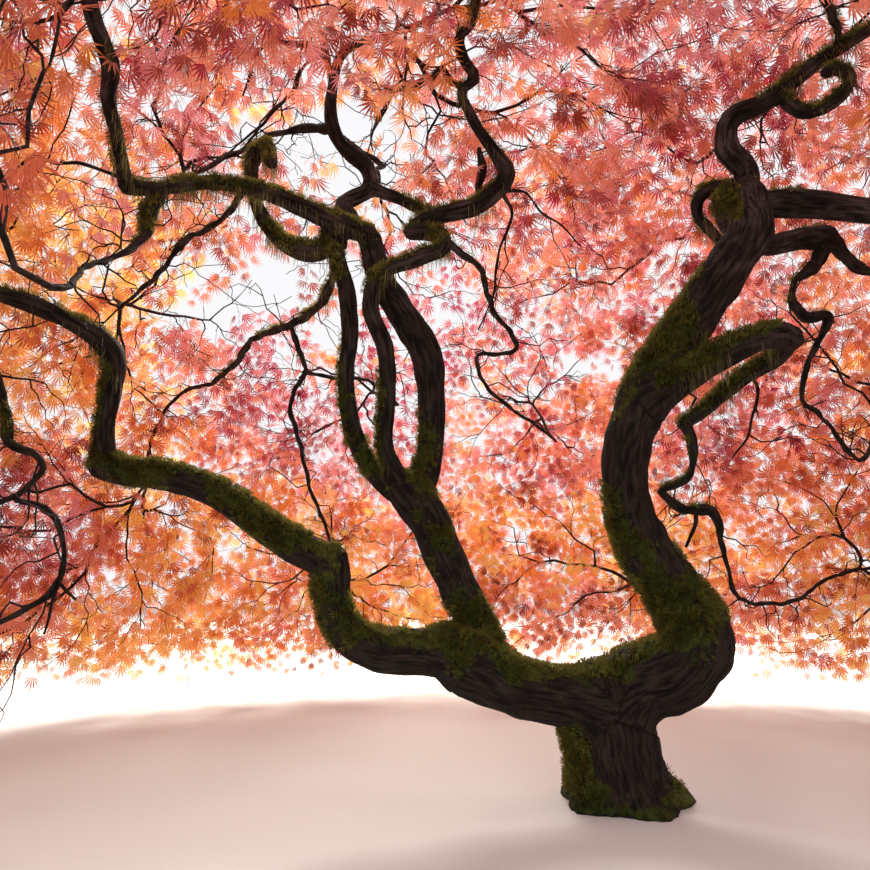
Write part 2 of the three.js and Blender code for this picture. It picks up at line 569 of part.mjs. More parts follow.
function buildTree() {
  const tree = new THREE.Group();
  const grown = growLimbs();
  for (const [name, { solid }] of Object.entries(grown)) tree.add(meshOf(name, solid, "bark"));
  for (const [name, space] of Object.entries(SPACES))
    tree.add(meshOf(`leaves_${name}`, massSolid(space, grown), "leaves"));
  return tree;
}

export default buildTree();
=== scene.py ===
# The looks of a laceleaf maple in autumn leaf: bark relief, moss, fine twigs and cut leaves that grow on
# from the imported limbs. Metres, +Z up, and +Y away from the open front. The origin is on the ground, in
# the middle of the trunk's flat foot.
import math

import bpy
import numpy as np
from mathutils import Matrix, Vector, kdtree, noise


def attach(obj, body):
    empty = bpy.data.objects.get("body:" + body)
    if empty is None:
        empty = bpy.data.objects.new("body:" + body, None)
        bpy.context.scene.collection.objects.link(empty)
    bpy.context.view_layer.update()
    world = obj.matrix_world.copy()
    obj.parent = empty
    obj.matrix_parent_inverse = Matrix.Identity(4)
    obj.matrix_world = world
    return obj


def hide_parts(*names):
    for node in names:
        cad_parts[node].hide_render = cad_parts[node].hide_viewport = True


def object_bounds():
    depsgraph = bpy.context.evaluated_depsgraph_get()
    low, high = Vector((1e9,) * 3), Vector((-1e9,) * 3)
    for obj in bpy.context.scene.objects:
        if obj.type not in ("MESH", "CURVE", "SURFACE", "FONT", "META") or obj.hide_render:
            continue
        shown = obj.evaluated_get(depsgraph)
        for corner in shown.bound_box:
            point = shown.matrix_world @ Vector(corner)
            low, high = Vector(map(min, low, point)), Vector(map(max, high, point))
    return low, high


SEED = 7

# Where each kind of noise is read, so that none follows another
NOISE_PLACES = {
    "moss patches": 0.0,
    "lumps": 1.0,
    "small lumps": 2.0,
    "flutes": 3.0,
    "ridges": 4.0,
    "small moss patches": 5.0,
    "cushions": 6.0,
    "tints": 8.0,
    "knobs": 0.5,
    "small knobs": 9.5,
    "kinks": 4.5,
}

# Driving dimensions of the crown: a dome about a heart that stands over the trunk
HEART = np.array([-0.2, 0.15, 0.35])
CROWN_HEIGHT = 2.68
CROWN_HALF_WIDTH = 2.33
CROWN_HALF_DEPTH = 2.06
CROWN_SQUARENESS = 2.35
BILLOW = 0.045
BILLOWS_ROUND = 7

# Leaves hang in a shell under the dome, between shares of the way from the heart to its surface. The
# shell is deeper where twigs hang down into the open front.
SHELL = (0.74, 0.95)
DEEPER_SHELLS = {"brow_left": 0.72, "brow_middle": 0.70, "brow_right": 0.70, "crown_top": 0.65}

# How twigs grow: how many tips a square metre of the dome has, and what makes a join cheap
TIPS_ON_A_METRE = 84
STEM_REACH = 0.45
STEM_LEAD = 0.45
STEM_THICKNESS_SHARE = 0.95
WALK_COST = 0.3
TURN_COST = 0.35
TWIG_STEPS = 6
TWIG_LEAD = 0.38
TWIG_AIM = 0.6
TWIG_SAG = 0.05
TWIG_WANDER = 0.035
FINEST_TWIG = 0.0015
TWIG_GROWTH = 0.44
TWIG_SIDES = 4

# Leaf sprays: a drooping stalk, which bends once, with pairs of leaves and one at its end
SPRAY_LENGTH = 0.30
SPRAY_SIZES = (0.7, 1.15)
SPRAY_STEPS = 4
SPRAY_BEND = 0.38
SPRAY_BEND_HANG = 0.8
SPRAY_END = 0.66
SPRAY_END_SAG = 0.25
LEAF_PAIRS = 4
FIRST_PAIR = 0.22
LEAF_LENGTH = 0.094
LEAF_SIZES = (0.72, 1.1)
LESS_AT_THE_END = 0.25
SIDE_PLACES = (0.74, 0.42)
SIDE_FAN_DEG = (62, 95)
TIP_FAN_DEG = (-30, 0, 30)
FAN_SCATTER = 0.25
DROOP_SIDE_TO_TOP = (0.74, 0.26)
PETIOLE_SPREAD = 0.85
PETIOLE_LEAD = 0.5
BLADE_HANG = 0.7
BLADE_SCATTER = 0.16
FACE_SCATTER = 0.9
LOWEST_LEAF = 0.05

# Which sprays are left: those clear of wood and within the solids' box, fewer of them with height, and
# none before the open front's limbs, but for a veil along the top of the view
LEAF_CLEARANCE = 0.02
PAST_THE_SOLIDS = (0.03, 0.015, 0.0)
LEAVES_LEFT = (0.97, 0.66)
LOW_LEAVES = 0.6
OPEN_AT_THE_EYE = 1.3
VEIL_FROM_THE_EYE = 0.95
SIGHT_ROOM = 0.05
VEIL_RISE = 0.62
VEIL_HALF_WIDTH = 0.31

# The trunk's root flare: ridges that die out with height
ROOT_RIDGES = 5
ROOT_RIDGE_SHARE = 0.13
ROOT_RIDGE_HEIGHT = 0.13

# The skin over old wood
SKIN_STEP = 0.022
SKIN_SIDES = 20
SKIN_VOXEL = 0.0058
SKIN_SMOOTHING = 0.5
SKIN_SMOOTHINGS = 5
KNUCKLE_LEANS_DEG = (20, 45, 68, 84)

# How close the rows lie by which bark, stems of masses and leaves find the limbs
BARK_LINE_STEP = 0.012
STEM_LINE_STEP = 0.02
WOOD_LINE_STEP = 0.03

# Thin boughs: how far they swell and kink, how often in a metre, and how straight they stay at their ends
THIN_BOUGH_STEP = 0.011
THIN_BOUGH_SIDES = 10
KNOB_SHARE = 0.3
KNOBS_ON_A_METRE = 22
SMALL_KNOB_SHARE = 0.6
SMALL_KNOBS_ON_A_METRE = 55
KINK_SHARE = 0.5
KINKS_ON_A_METRE = 16
KINKED_THICKNESS = 0.02
STRAIGHT_ENDS = 0.08

# Bare side twigs on boughs: how far apart they stand, how long they are, how they bend and fork
TWIG_SPACING = 0.085
FIRST_TWIG = 0.1
TWIG_STRAY = 0.5
TWIG_LEAN = 0.7
TWIG_REACH = (0.07, 0.34)
TWIG_KINKS = 7
TWIG_KINK = 0.5
TWIG_DROOP = 0.06
TWIG_START = 0.0055
TWIG_START_SHARE = 0.6
TWIG_END = 0.0014
FORKED_KINKS = (2, 3, 4)
FORK_SCATTER = 0.9
FORK_SHARE = 0.6

# Bark relief: swellings, flutes that turn slowly round a limb, and fine ridges
LUMP_SIZE = 0.11
SMALL_LUMP_SIZE = LUMP_SIZE / 2.3
LUMP_SHARE = 0.15
SMALL_LUMPS = 0.5
FLUTES = 1.5
FLUTE_LENGTH = 0.34
FLUTE_SHARE = 0.14
BARK_TWIST = 1.6
BARK_SEAM = (0.31, 0.87, 0.38)
RIDGE_WIDTH = 0.014
RIDGE_LENGTH = 0.09
RIDGE_HEIGHT = 0.0028
RIDGE_LEVEL = 0.5
RIDGE_SHARPNESS = 2
RIDGED_RADIUS = 0.03
RELIEF_FROM_GROUND = 0.03
SLIMMER = 0.05

# Where moss lies: which side it likes, its patches, how high it climbs and on what wood it grows
MOSS_SIDE = (-0.55, -0.12, 1.0)
MOSS_BASE = 0.26
MOSS_ON_TOP = 0.74
MOSS_LOW_DOWN = 0.22
MOSS_TOP = 1.7
MOSS_PATCH = 0.16
SMALL_MOSS_PATCH = MOSS_PATCH / 3
MOSS_PATCHES = 0.7
SMALL_MOSS_PATCHES = 0.5
MOSS_PLACE_EDGE = 1.6
BARE_THICKNESS = 0.012
MOSSY_THICKNESS = 0.034

# Where strands of moss hang: from flanks that face down a little, and from high boughs most of all
FRINGE_FACES = -0.45
FRINGE_SPREAD = 0.6
FRINGE_MORE = 0.25
FRINGE_FROM = 0.2
FULL_FRINGE = 1.1

# How thick moss lies, its tufts and its strands. A strand's bends are given as its sway and height.
MOSS_DEPTH = 0.009
MOSS_CUSHION = 0.03
CUSHION_DIPS = 0.4
RELIEF_UNDER_MOSS = 0.4
MOSS_THINS_OUT = (0.3, 0.85)
TUFTS_ON_A_METRE = 21000.0
TUFT_LENGTH = 0.011
TUFT_SIZES = (0.4, 1.4)
TUFT_WIDTH = 0.06
TUFT_FOOT = 0.1
TUFT_KNEE = 0.65
TUFT_TIP = 1.25
TUFT_BLADES_DEG = (0, 67, 151, 212, 296)
TUFT_LEANS = (0.45, 0.65, 0.85)
STRANDS_ON_A_METRE = 60000.0
STRAND_LENGTH = 0.03
STRAND_SIZES = (0.25, 1.9)
STRAND_WIDTH = 0.02
STRAND_ROOT_WIDTH = 1.2
STRAND_BENDS = ((0, 0), (0.16, -0.3), (0.1, -0.65), (0.2, -1))

# Where moss lies thicker or has worn off: a place, how far round it, and how much more is likely
MOSS_PLACES = (
    ((0.10, -0.05, 0.84), 0.22, -0.8),
    ((-0.10, 0.15, 1.95), 0.25, -0.8),
    ((-0.72, 0.10, 1.87), 0.32, -0.9),
    ((0.0, -0.12, 0.22), 0.20, -0.8),
    ((0.48, -0.11, 1.15), 0.08, -0.8),
    ((0.36, -0.08, 1.40), 0.22, -0.7),
    ((0.40, -0.08, 1.75), 0.20, -0.7),
    ((0.85, 0.08, 1.62), 0.45, -0.6),
    ((-0.60, 0.08, 1.25), 0.25, -0.4),
    ((-1.08, -0.10, 0.77), 0.36, 0.22),
    ((-0.71, -0.14, 0.54), 0.16, 0.3),
    ((-1.00, -0.05, 1.60), 0.34, 0.45),
    ((-1.21, -0.35, 1.53), 0.30, 0.3),
    ((0.20, -0.05, 1.12), 0.20, 0.25),
    ((0.35, -0.06, 1.56), 0.09, 0.8),
)

# A leaf's outline, as shares of its length
PETIOLE_SHARE = 0.27
PETIOLE_WIDTH = 0.012
LOBE_SHORTEST = 0.32
LOBE_ROUNDING = 0.8
LOBE_DROOP = 0.16
LOBE_FOLD = 0.5
FAR_LOBES_DEG = (
    (-66, -44, -22, 0, 21, 42, 64), (-50, -34, -17, 2, 18, 35, 52), (-59, -37, -18, -2, 17, 36, 54))
FAR_TEETH = ((0.44, 0.056),)
NEAR_LOBES_DEG = ((-66, -44, -22, 0, 22, 44, 66), (-52, -35, -17, 2, 20, 38, 56))
NEAR_TEETH = ((0.24, 0.028), (0.45, 0.068), (0.52, 0.030), (0.72, 0.050))
NEAR_THE_OPENING = 1.55

# How tints are dealt out: the size of a patch, how far sprays stray from it, the lean with height from
# gold to rose, the share of each tint, and places, each with how far round it sprays are more golden
TINT_PATCH = 0.5
TINT_SCATTER = 0.34
TINT_RISE = 0.32
TINT_PLACES = (
    ((-1.75, 0.5, 2.1), 0.95, 1.1),
    ((-0.9, 1.9, 0.5), 1.2, 0.3),
    ((-0.7, 1.6, 1.95), 1.1, -1.1),
)
TINT_SHARES = (8, 14, 14, 14, 12, 18, 10, 8, 2)

# The camera, as the photograph was taken: low down, under the open front of the crown
EYE = (-0.46, -1.90, 0.50)
EYE_PITCH_DEG = 12.07
LENS_MM = 30.0
FLOOR_SIZE = 40.0

# The stalks of leaf sprays, and how many faces a piece may have
STALK_THICKNESS = 0.0016
STALK_END_SHARE = 0.6
STALK_SIDES = 3
LARGEST_PIECE = 190000

# How much light passes through leaves and moss, and how surfaces shine
LEAF_GLOW = 0.46
MOSS_GLOW = 0.35
LEAF_SHINE = 0.25
FLOOR_SHINE = 0.5
DULL = 0.12
BARK_ROUGHNESS = (0.72, 0.92)
YOUNG_BARK_ROUGHNESS = 0.8
LEAF_ROUGHNESS = 0.5
MOSS_ROUGHNESS = 0.9
FLOOR_ROUGHNESS = 0.9

# How deep bark looks, and what furrows, grit and fibres of moss add to that
BARK_DEPTH = 0.010
YOUNG_BARK_DEPTH = 0.002
YOUNG_BARK_BUMP = 0.5
FURROW_BUMP = 0.7
GRIT_BUMP = 0.3
FIBRE_BUMP = 0.5
FURROWS_ON_A_METRE = (95.0, 95.0, 17.0)

# Patterns in bark and moss, each as its waves in a metre, its layers and its roughness. The first one's
# waves are in a furrow instead.
FURROW_PATTERN = (1.0, 5.0, 0.6)
BLOTCH_PATTERN = (9.0, 3.0, 0.55)
GRIT_PATTERN = (260.0, 3.0, 0.7)
FIBRE_PATTERN = (420.0, 2.0, 0.8)
CUSHION_PATTERN = (46.0, 5.0, 0.65)
MOSS_PATTERN = (24.0, 4.0, 0.55)
STREAK_PATTERN = (60.0, 4.0, 0.55)

# Between which values of a pattern, or heights, one colour or cover turns into the next
FURROW_TO_RIDGE = (0.36, 0.66)
BLOTCHES = (0.38, 0.62)
GREY_HEIGHTS = (0.7, 1.9)
# Values of the cushion pattern over which moss on bark turns from its painted-shade depths to lighter green
CUSHION_DEPTHS_AND_PAINTED_SHADE = (0.35, 0.65)
FIBRE_SHADES = (0.25, 0.42)
MOSS_EDGE = (0.38, 0.62)
MOSS_EDGE_SWAY = 0.9
MOSS_SHADES = (0.38, 0.68)
STREAKS = (0.35, 0.65)
# Heights over which moss turns to its brighter green of painted light
PAINTED_LIGHT_HEIGHTS = (0.9, 1.7)

# Soft studio lights: name, place, what it points at, size across and power
LIGHT_TINT = (1.0, 0.93, 0.85)
STUDIO_LIGHTS = (
    ("sky light from behind", (-0.6, 9.0, 7.5), (-0.3, 0.6, 1.4), 4.0, 2450.0),
    ("sky light from above", (-1.0, 0.5, 7.0), (-0.2, 0.3, 0.5), 6.0, 350.0),
    ("soft fill from the front", (-2.5, -6.0, 3.0), (-0.2, 0.2, 0.9), 5.0, 60.0),
)

# Each limb is given by the places where it bends, as (right, back, up, thickness)
LIMBS = {
    "trunk": [
        (0, 0, 0, 0.312), (-0.014, 0, 0.06, 0.262), (-0.034, 0, 0.145, 0.244), (-0.042, 0, 0.215, 0.236),
    ],
    "right_stem": [
        (-0.04, 0, 0.205, 0.196), (0.05, 0, 0.272, 0.2), (0.158, -0.036, 0.324, 0.198),
        (0.194, -0.03, 0.395, 0.186), (0.157, 0.02, 0.49, 0.166), (0.091, 0.05, 0.615, 0.146),
        (0.061, 0.06, 0.765, 0.13), (0.073, 0.05, 0.905, 0.136), (0.13, 0.02, 1.05, 0.148),
        (0.24, 0, 1.22, 0.138), (0.355, -0.02, 1.38, 0.126), (0.43, -0.01, 1.5, 0.14),
        (0.424, 0.005, 1.588, 0.166),
    ],
    "left_stem": [
        (-0.04, 0, 0.218, 0.17), (-0.16, -0.02, 0.25, 0.15), (-0.27, -0.03, 0.272, 0.152),
        (-0.375, -0.03, 0.322, 0.166), (-0.432, -0.024, 0.35, 0.142),
    ],
    "left_low": [
        (-0.385, -0.03, 0.33, 0.122), (-0.47, -0.04, 0.348, 0.118), (-0.595, -0.06, 0.36, 0.107),
        (-0.673, -0.08, 0.395, 0.1), (-0.711, -0.08, 0.475, 0.097), (-0.725, -0.055, 0.565, 0.106),
    ],
    "left_mid": [
        (-0.725, -0.055, 0.565, 0.096), (-0.805, -0.042, 0.605, 0.091), (-0.91, -0.024, 0.672, 0.092),
        (-1.02, -0.024, 0.745, 0.084), (-1.145, -0.04, 0.785, 0.083), (-1.25, -0.06, 0.796, 0.082),
        (-1.305, -0.078, 0.812, 0.078),
    ],
    "left_rise": [
        (-1.302, -0.08, 0.815, 0.062), (-1.302, -0.1, 0.9, 0.056), (-1.285, -0.12, 1, 0.058),
        (-1.278, -0.14, 1.085, 0.062), (-1.335, -0.18, 1.136, 0.054), (-1.485, -0.29, 1.185, 0.044),
        (-1.64, -0.36, 1.18, 0.036),
    ],
    "left_weeper": [
        (-1.545, -0.32, 1.19, 0.028), (-1.47, -0.385, 1.04, 0.028), (-1.37, -0.42, 0.895, 0.027),
        (-1.335, -0.44, 0.792, 0.024), (-1.27, -0.46, 0.769, 0.015), (-1.241, -0.47, 0.74, 0.013),
        (-1.263, -0.48, 0.697, 0.013), (-1.286, -0.48, 0.679, 0.013), (-1.234, -0.49, 0.662, 0.012),
        (-1.188, -0.5, 0.628, 0.012), (-1.169, -0.5, 0.563, 0.012), (-1.17, -0.51, 0.513, 0.012),
        (-1.24, -0.52, 0.45, 0.012), (-1.37, -0.515, 0.42, 0.012), (-1.5, -0.49, 0.48, 0.012),
    ],
    "mid_stem": [
        (-0.335, -0.01, 0.335, 0.12), (-0.352, 0.028, 0.415, 0.112), (-0.4, 0.06, 0.515, 0.111),
        (-0.445, 0.08, 0.61, 0.114), (-0.49, 0.1, 0.71, 0.12), (-0.535, 0.11, 0.77, 0.124),
    ],
    "mid_left": [
        (-0.565, 0.108, 0.765, 0.066), (-0.645, 0.1, 0.84, 0.06), (-0.695, 0.08, 0.955, 0.056),
        (-0.712, 0.06, 1.09, 0.053), (-0.704, 0.05, 1.23, 0.051), (-0.725, 0.05, 1.39, 0.049),
        (-0.782, 0.092, 1.535, 0.048),
    ],
    "mid_right": [
        (-0.515, 0.118, 0.76, 0.09), (-0.475, 0.14, 0.885, 0.082), (-0.47, 0.14, 1.04, 0.087),
        (-0.49, 0.14, 1.185, 0.093), (-0.56, 0.14, 1.31, 0.092), (-0.625, 0.14, 1.425, 0.084),
        (-0.66, 0.14, 1.545, 0.08),
    ],
    "mid_centre": [
        (-0.55, 0.09, 0.78, 0.06), (-0.595, 0.04, 0.88, 0.052), (-0.592, 0.02, 1.015, 0.052),
        (-0.598, 0.015, 1.15, 0.05), (-0.642, 0.018, 1.275, 0.048), (-0.625, 0.015, 1.37, 0.048),
        (-0.53, 0.015, 1.418, 0.051), (-0.44, 0.028, 1.468, 0.054), (-0.452, 0.076, 1.532, 0.056),
        (-0.53, 0.104, 1.556, 0.054),
    ],
    "upper_curl": [
        (-0.535, 0.11, 1.575, 0.046), (-0.445, 0.09, 1.6, 0.058), (-0.325, 0.05, 1.618, 0.058),
        (-0.251, 0, 1.681, 0.054), (-0.291, -0.04, 1.729, 0.042), (-0.339, -0.085, 1.766, 0.034),
        (-0.371, -0.12, 1.81, 0.033), (-0.391, -0.145, 1.848, 0.033), (-0.348, -0.165, 1.866, 0.035),
        (-0.384, -0.2, 1.904, 0.034), (-0.396, -0.24, 1.932, 0.032), (-0.367, -0.29, 1.936, 0.03),
        (-0.35, -0.47, 1.93, 0.028), (-0.29, -0.64, 1.88, 0.026),
    ],
    "high_left": [
        (-0.65, 0.14, 1.56, 0.068), (-0.725, 0.1, 1.568, 0.066), (-0.83, 0.04, 1.59, 0.06),
        (-0.95, -0.03, 1.61, 0.052), (-1.085, -0.1, 1.594, 0.047), (-1.185, -0.17, 1.535, 0.043),
        (-1.242, -0.235, 1.502, 0.044),
    ],
    "high_left_rise": [
        (-1.242, -0.238, 1.505, 0.04), (-1.224, -0.33, 1.54, 0.04), (-1.211, -0.38, 1.558, 0.04),
        (-1.207, -0.44, 1.598, 0.041), (-1.179, -0.5, 1.628, 0.042), (-1.168, -0.56, 1.64, 0.038),
        (-1.173, -0.6, 1.662, 0.036), (-1.15, -0.68, 1.7, 0.034), (-1.08, -0.78, 1.77, 0.03),
    ],
    "droop_left": [
        (-1.175, -0.165, 1.54, 0.036), (-1.192, -0.17, 1.506, 0.04), (-1.198, -0.19, 1.446, 0.04),
        (-1.196, -0.22, 1.382, 0.034), (-1.197, -0.26, 1.324, 0.021), (-1.206, -0.32, 1.269, 0.015),
        (-1.204, -0.42, 1.206, 0.014), (-1.182, -0.52, 1.14, 0.014), (-1.128, -0.66, 1.044, 0.014),
    ],
    "droop_inner": [
        (-1, -0.05, 1.6, 0.025), (-1.065, 0.02, 1.565, 0.022), (-1.21, 0.14, 1.55, 0.02),
        (-1.325, 0.26, 1.515, 0.018), (-1.485, 0.4, 1.465, 0.016),
    ],
    "high_top": [
        (-0.7, 0.13, 1.575, 0.06), (-0.745, 0.182, 1.69, 0.056), (-0.672, 0.2, 1.75, 0.056),
        (-0.676, 0.2, 1.825, 0.054), (-0.765, 0.18, 1.9, 0.047), (-0.795, 0.16, 1.98, 0.042),
        (-0.785, 0.12, 2.06, 0.038), (-0.745, 0.06, 2.14, 0.032), (-0.61, 0.05, 2.19, 0.026),
    ],
    "top_left": [
        (-0.785, 0.176, 1.95, 0.03), (-0.885, 0.2, 1.97, 0.027), (-0.995, 0.2, 1.95, 0.022),
        (-1.09, 0.18, 1.87, 0.018), (-1.2, 0.16, 1.79, 0.016),
    ],
    "top_back": [
        (-0.78, 0.17, 1.925, 0.028), (-0.745, 0.32, 1.99, 0.024), (-0.65, 0.47, 2.01, 0.02),
        (-0.68, 0.62, 2.09, 0.017), (-0.69, 0.8, 2.14, 0.015),
    ],
    "high_bridge": [
        (-0.672, 0.2, 1.76, 0.042), (-0.565, 0.222, 1.727, 0.042), (-0.47, 0.195, 1.665, 0.04),
        (-0.4, 0.11, 1.625, 0.034),
    ],
    "knot": [
        (-0.735, 0.12, 1.54, 0.06), (-0.825, 0.11, 1.495, 0.072), (-0.91, 0.118, 1.522, 0.058),
        (-0.99, 0.13, 1.622, 0.047), (-1.03, 0.14, 1.73, 0.046), (-1.03, 0.13, 1.812, 0.054),
        (-0.975, 0.085, 1.83, 0.054), (-0.95, 0.048, 1.75, 0.042),
    ],
    "back_left": [
        (-0.745, 0.13, 1.5, 0.034), (-0.825, 0.3, 1.415, 0.034), (-0.955, 0.45, 1.39, 0.033),
        (-1.11, 0.6, 1.4, 0.03), (-1.224, 0.75, 1.344, 0.027), (-1.376, 0.93, 1.317, 0.02),
        (-1.469, 0.98, 1.314, 0.018), (-1.546, 1, 1.26, 0.016), (-1.638, 1.04, 1.086, 0.015),
        (-1.64, 1.04, 0.96, 0.014),
    ],
    "back_left_low": [
        (-0.955, 0.455, 1.388, 0.023), (-0.942, 0.55, 1.325, 0.022), (-0.935, 0.64, 1.285, 0.021),
        (-1.005, 0.75, 1.185, 0.019), (-0.98, 0.85, 1.045, 0.017), (-0.955, 0.95, 0.9, 0.016),
        (-0.9, 1.06, 0.74, 0.015), (-0.905, 1.26, 0.64, 0.014),
    ],
    "back_centre": [
        (-0.94, 0.64, 1.28, 0.018), (-0.85, 0.76, 1.29, 0.017), (-0.74, 0.88, 1.32, 0.016),
        (-0.64, 1.06, 1.29, 0.015),
    ],
    "back_mid": [
        (-0.425, 0.06, 1.5, 0.024), (-0.325, 0.2, 1.48, 0.022), (-0.27, 0.38, 1.43, 0.02),
        (-0.17, 0.55, 1.34, 0.019), (-0.3, 0.7, 1.355, 0.018), (-0.255, 0.82, 1.27, 0.016),
        (-0.13, 0.95, 1.205, 0.015), (-0.005, 1.06, 1.15, 0.014),
    ],
    "top_right": [
        (0.442, 0.014, 1.6, 0.076), (0.438, -0.012, 1.682, 0.07), (0.366, -0.058, 1.732, 0.066),
        (0.368, -0.1, 1.792, 0.061), (0.455, -0.13, 1.822, 0.06), (0.535, -0.17, 1.878, 0.049),
        (0.62, -0.22, 1.922, 0.045), (0.72, -0.29, 1.955, 0.036),
    ],
    "top_right_curl": [
        (0.488, -0.146, 1.842, 0.044), (0.519, -0.185, 1.753, 0.043), (0.555, -0.22, 1.736, 0.042),
        (0.593, -0.25, 1.758, 0.043), (0.604, -0.27, 1.79, 0.042), (0.573, -0.28, 1.808, 0.04),
        (0.54, -0.284, 1.794, 0.036),
    ],
    "top_right_rise": [
        (0.616, -0.216, 1.918, 0.03), (0.609, -0.24, 1.956, 0.026), (0.581, -0.27, 1.973, 0.025),
        (0.543, -0.31, 1.984, 0.024), (0.48, -0.42, 1.99, 0.023), (0.4, -0.58, 1.95, 0.022),
    ],
    "right_arm": [
        (0.432, 0.002, 1.585, 0.088), (0.53, -0.04, 1.565, 0.084), (0.625, -0.08, 1.532, 0.076),
        (0.725, -0.12, 1.495, 0.069), (0.9, -0.19, 1.42, 0.058), (1.11, -0.28, 1.27, 0.044),
        (1.34, -0.38, 0.95, 0.028),
    ],
    "right_behind": [
        (0.44, 0.02, 1.49, 0.066), (0.54, 0.105, 1.512, 0.066), (0.65, 0.15, 1.552, 0.07),
        (0.755, 0.182, 1.578, 0.086),
    ],
    "right_far": [
        (0.775, 0.186, 1.578, 0.05), (0.8, 0.192, 1.546, 0.046), (0.841, 0.2, 1.498, 0.04),
        (0.894, 0.2, 1.468, 0.036), (1, 0.19, 1.44, 0.03), (1.11, 0.175, 1.45, 0.026),
        (1.23, 0.15, 1.45, 0.022),
    ],
    "right_weeper": [
        (0.755, 0.182, 1.565, 0.06), (0.705, 0.16, 1.475, 0.044), (0.618, 0.13, 1.41, 0.028),
        (0.598, 0.12, 1.35, 0.028), (0.638, 0.12, 1.294, 0.034), (0.702, 0.122, 1.29, 0.034),
        (0.672, 0.155, 1.205, 0.021), (0.645, 0.215, 1.085, 0.017), (0.76, 0.3, 1.01, 0.015),
        (0.9, 0.4, 0.915, 0.015), (1.01, 0.51, 0.96, 0.014), (1.11, 0.62, 1.1, 0.014),
    ],
    "stub_out": [
        (0.14, 0, 1.012, 0.096), (0.235, -0.08, 1.075, 0.084), (0.32, -0.13, 1.114, 0.082),
        (0.415, -0.13, 1.142, 0.076), (0.472, -0.092, 1.148, 0.07),
    ],
    "stub_back": [
        (0.472, -0.088, 1.146, 0.06), (0.478, 0.01, 1.131, 0.058), (0.426, 0.09, 1.104, 0.058),
        (0.363, 0.122, 1.053, 0.054), (0.307, 0.13, 1.005, 0.05), (0.256, 0.132, 0.97, 0.046),
    ],
    "stub_weeper": [
        (0.256, 0.132, 0.974, 0.04), (0.278, 0.135, 0.895, 0.032), (0.265, 0.152, 0.825, 0.029),
        (0.197, 0.182, 0.778, 0.028), (0.255, 0.222, 0.732, 0.031), (0.361, 0.25, 0.726, 0.033),
        (0.404, 0.3, 0.644, 0.017), (0.437, 0.36, 0.578, 0.015), (0.478, 0.42, 0.488, 0.014),
        (0.62, 0.56, 0.455, 0.014), (0.8, 0.69, 0.47, 0.014), (0.98, 0.81, 0.54, 0.014),
        (1.15, 0.9, 0.58, 0.014),
    ],
    "back_high": [
        (0.42, 0.02, 1.61, 0.06), (0.37, 0.045, 1.664, 0.054), (0.334, 0.078, 1.658, 0.047),
        (0.334, 0.112, 1.622, 0.036), (0.39, 0.18, 1.61, 0.038), (0.5, 0.32, 1.625, 0.038),
        (0.64, 0.52, 1.76, 0.034), (0.74, 0.7, 1.92, 0.03), (0.835, 0.86, 2.07, 0.024),
    ],
    "back_right": [
        (0.29, 0.02, 1.32, 0.032), (0.33, 0.2, 1.385, 0.026), (0.42, 0.4, 1.44, 0.023),
        (0.5, 0.64, 1.43, 0.021), (0.525, 0.89, 1.33, 0.018),
    ],
    "back_low": [
        (0.1, 0.05, 0.5, 0.028), (0.2, 0.3, 0.472, 0.024), (0.346, 0.55, 0.45, 0.023),
        (0.45, 0.83, 0.4, 0.02), (0.5, 1.1, 0.43, 0.018), (0.5, 1.38, 0.5, 0.016),
    ],
}

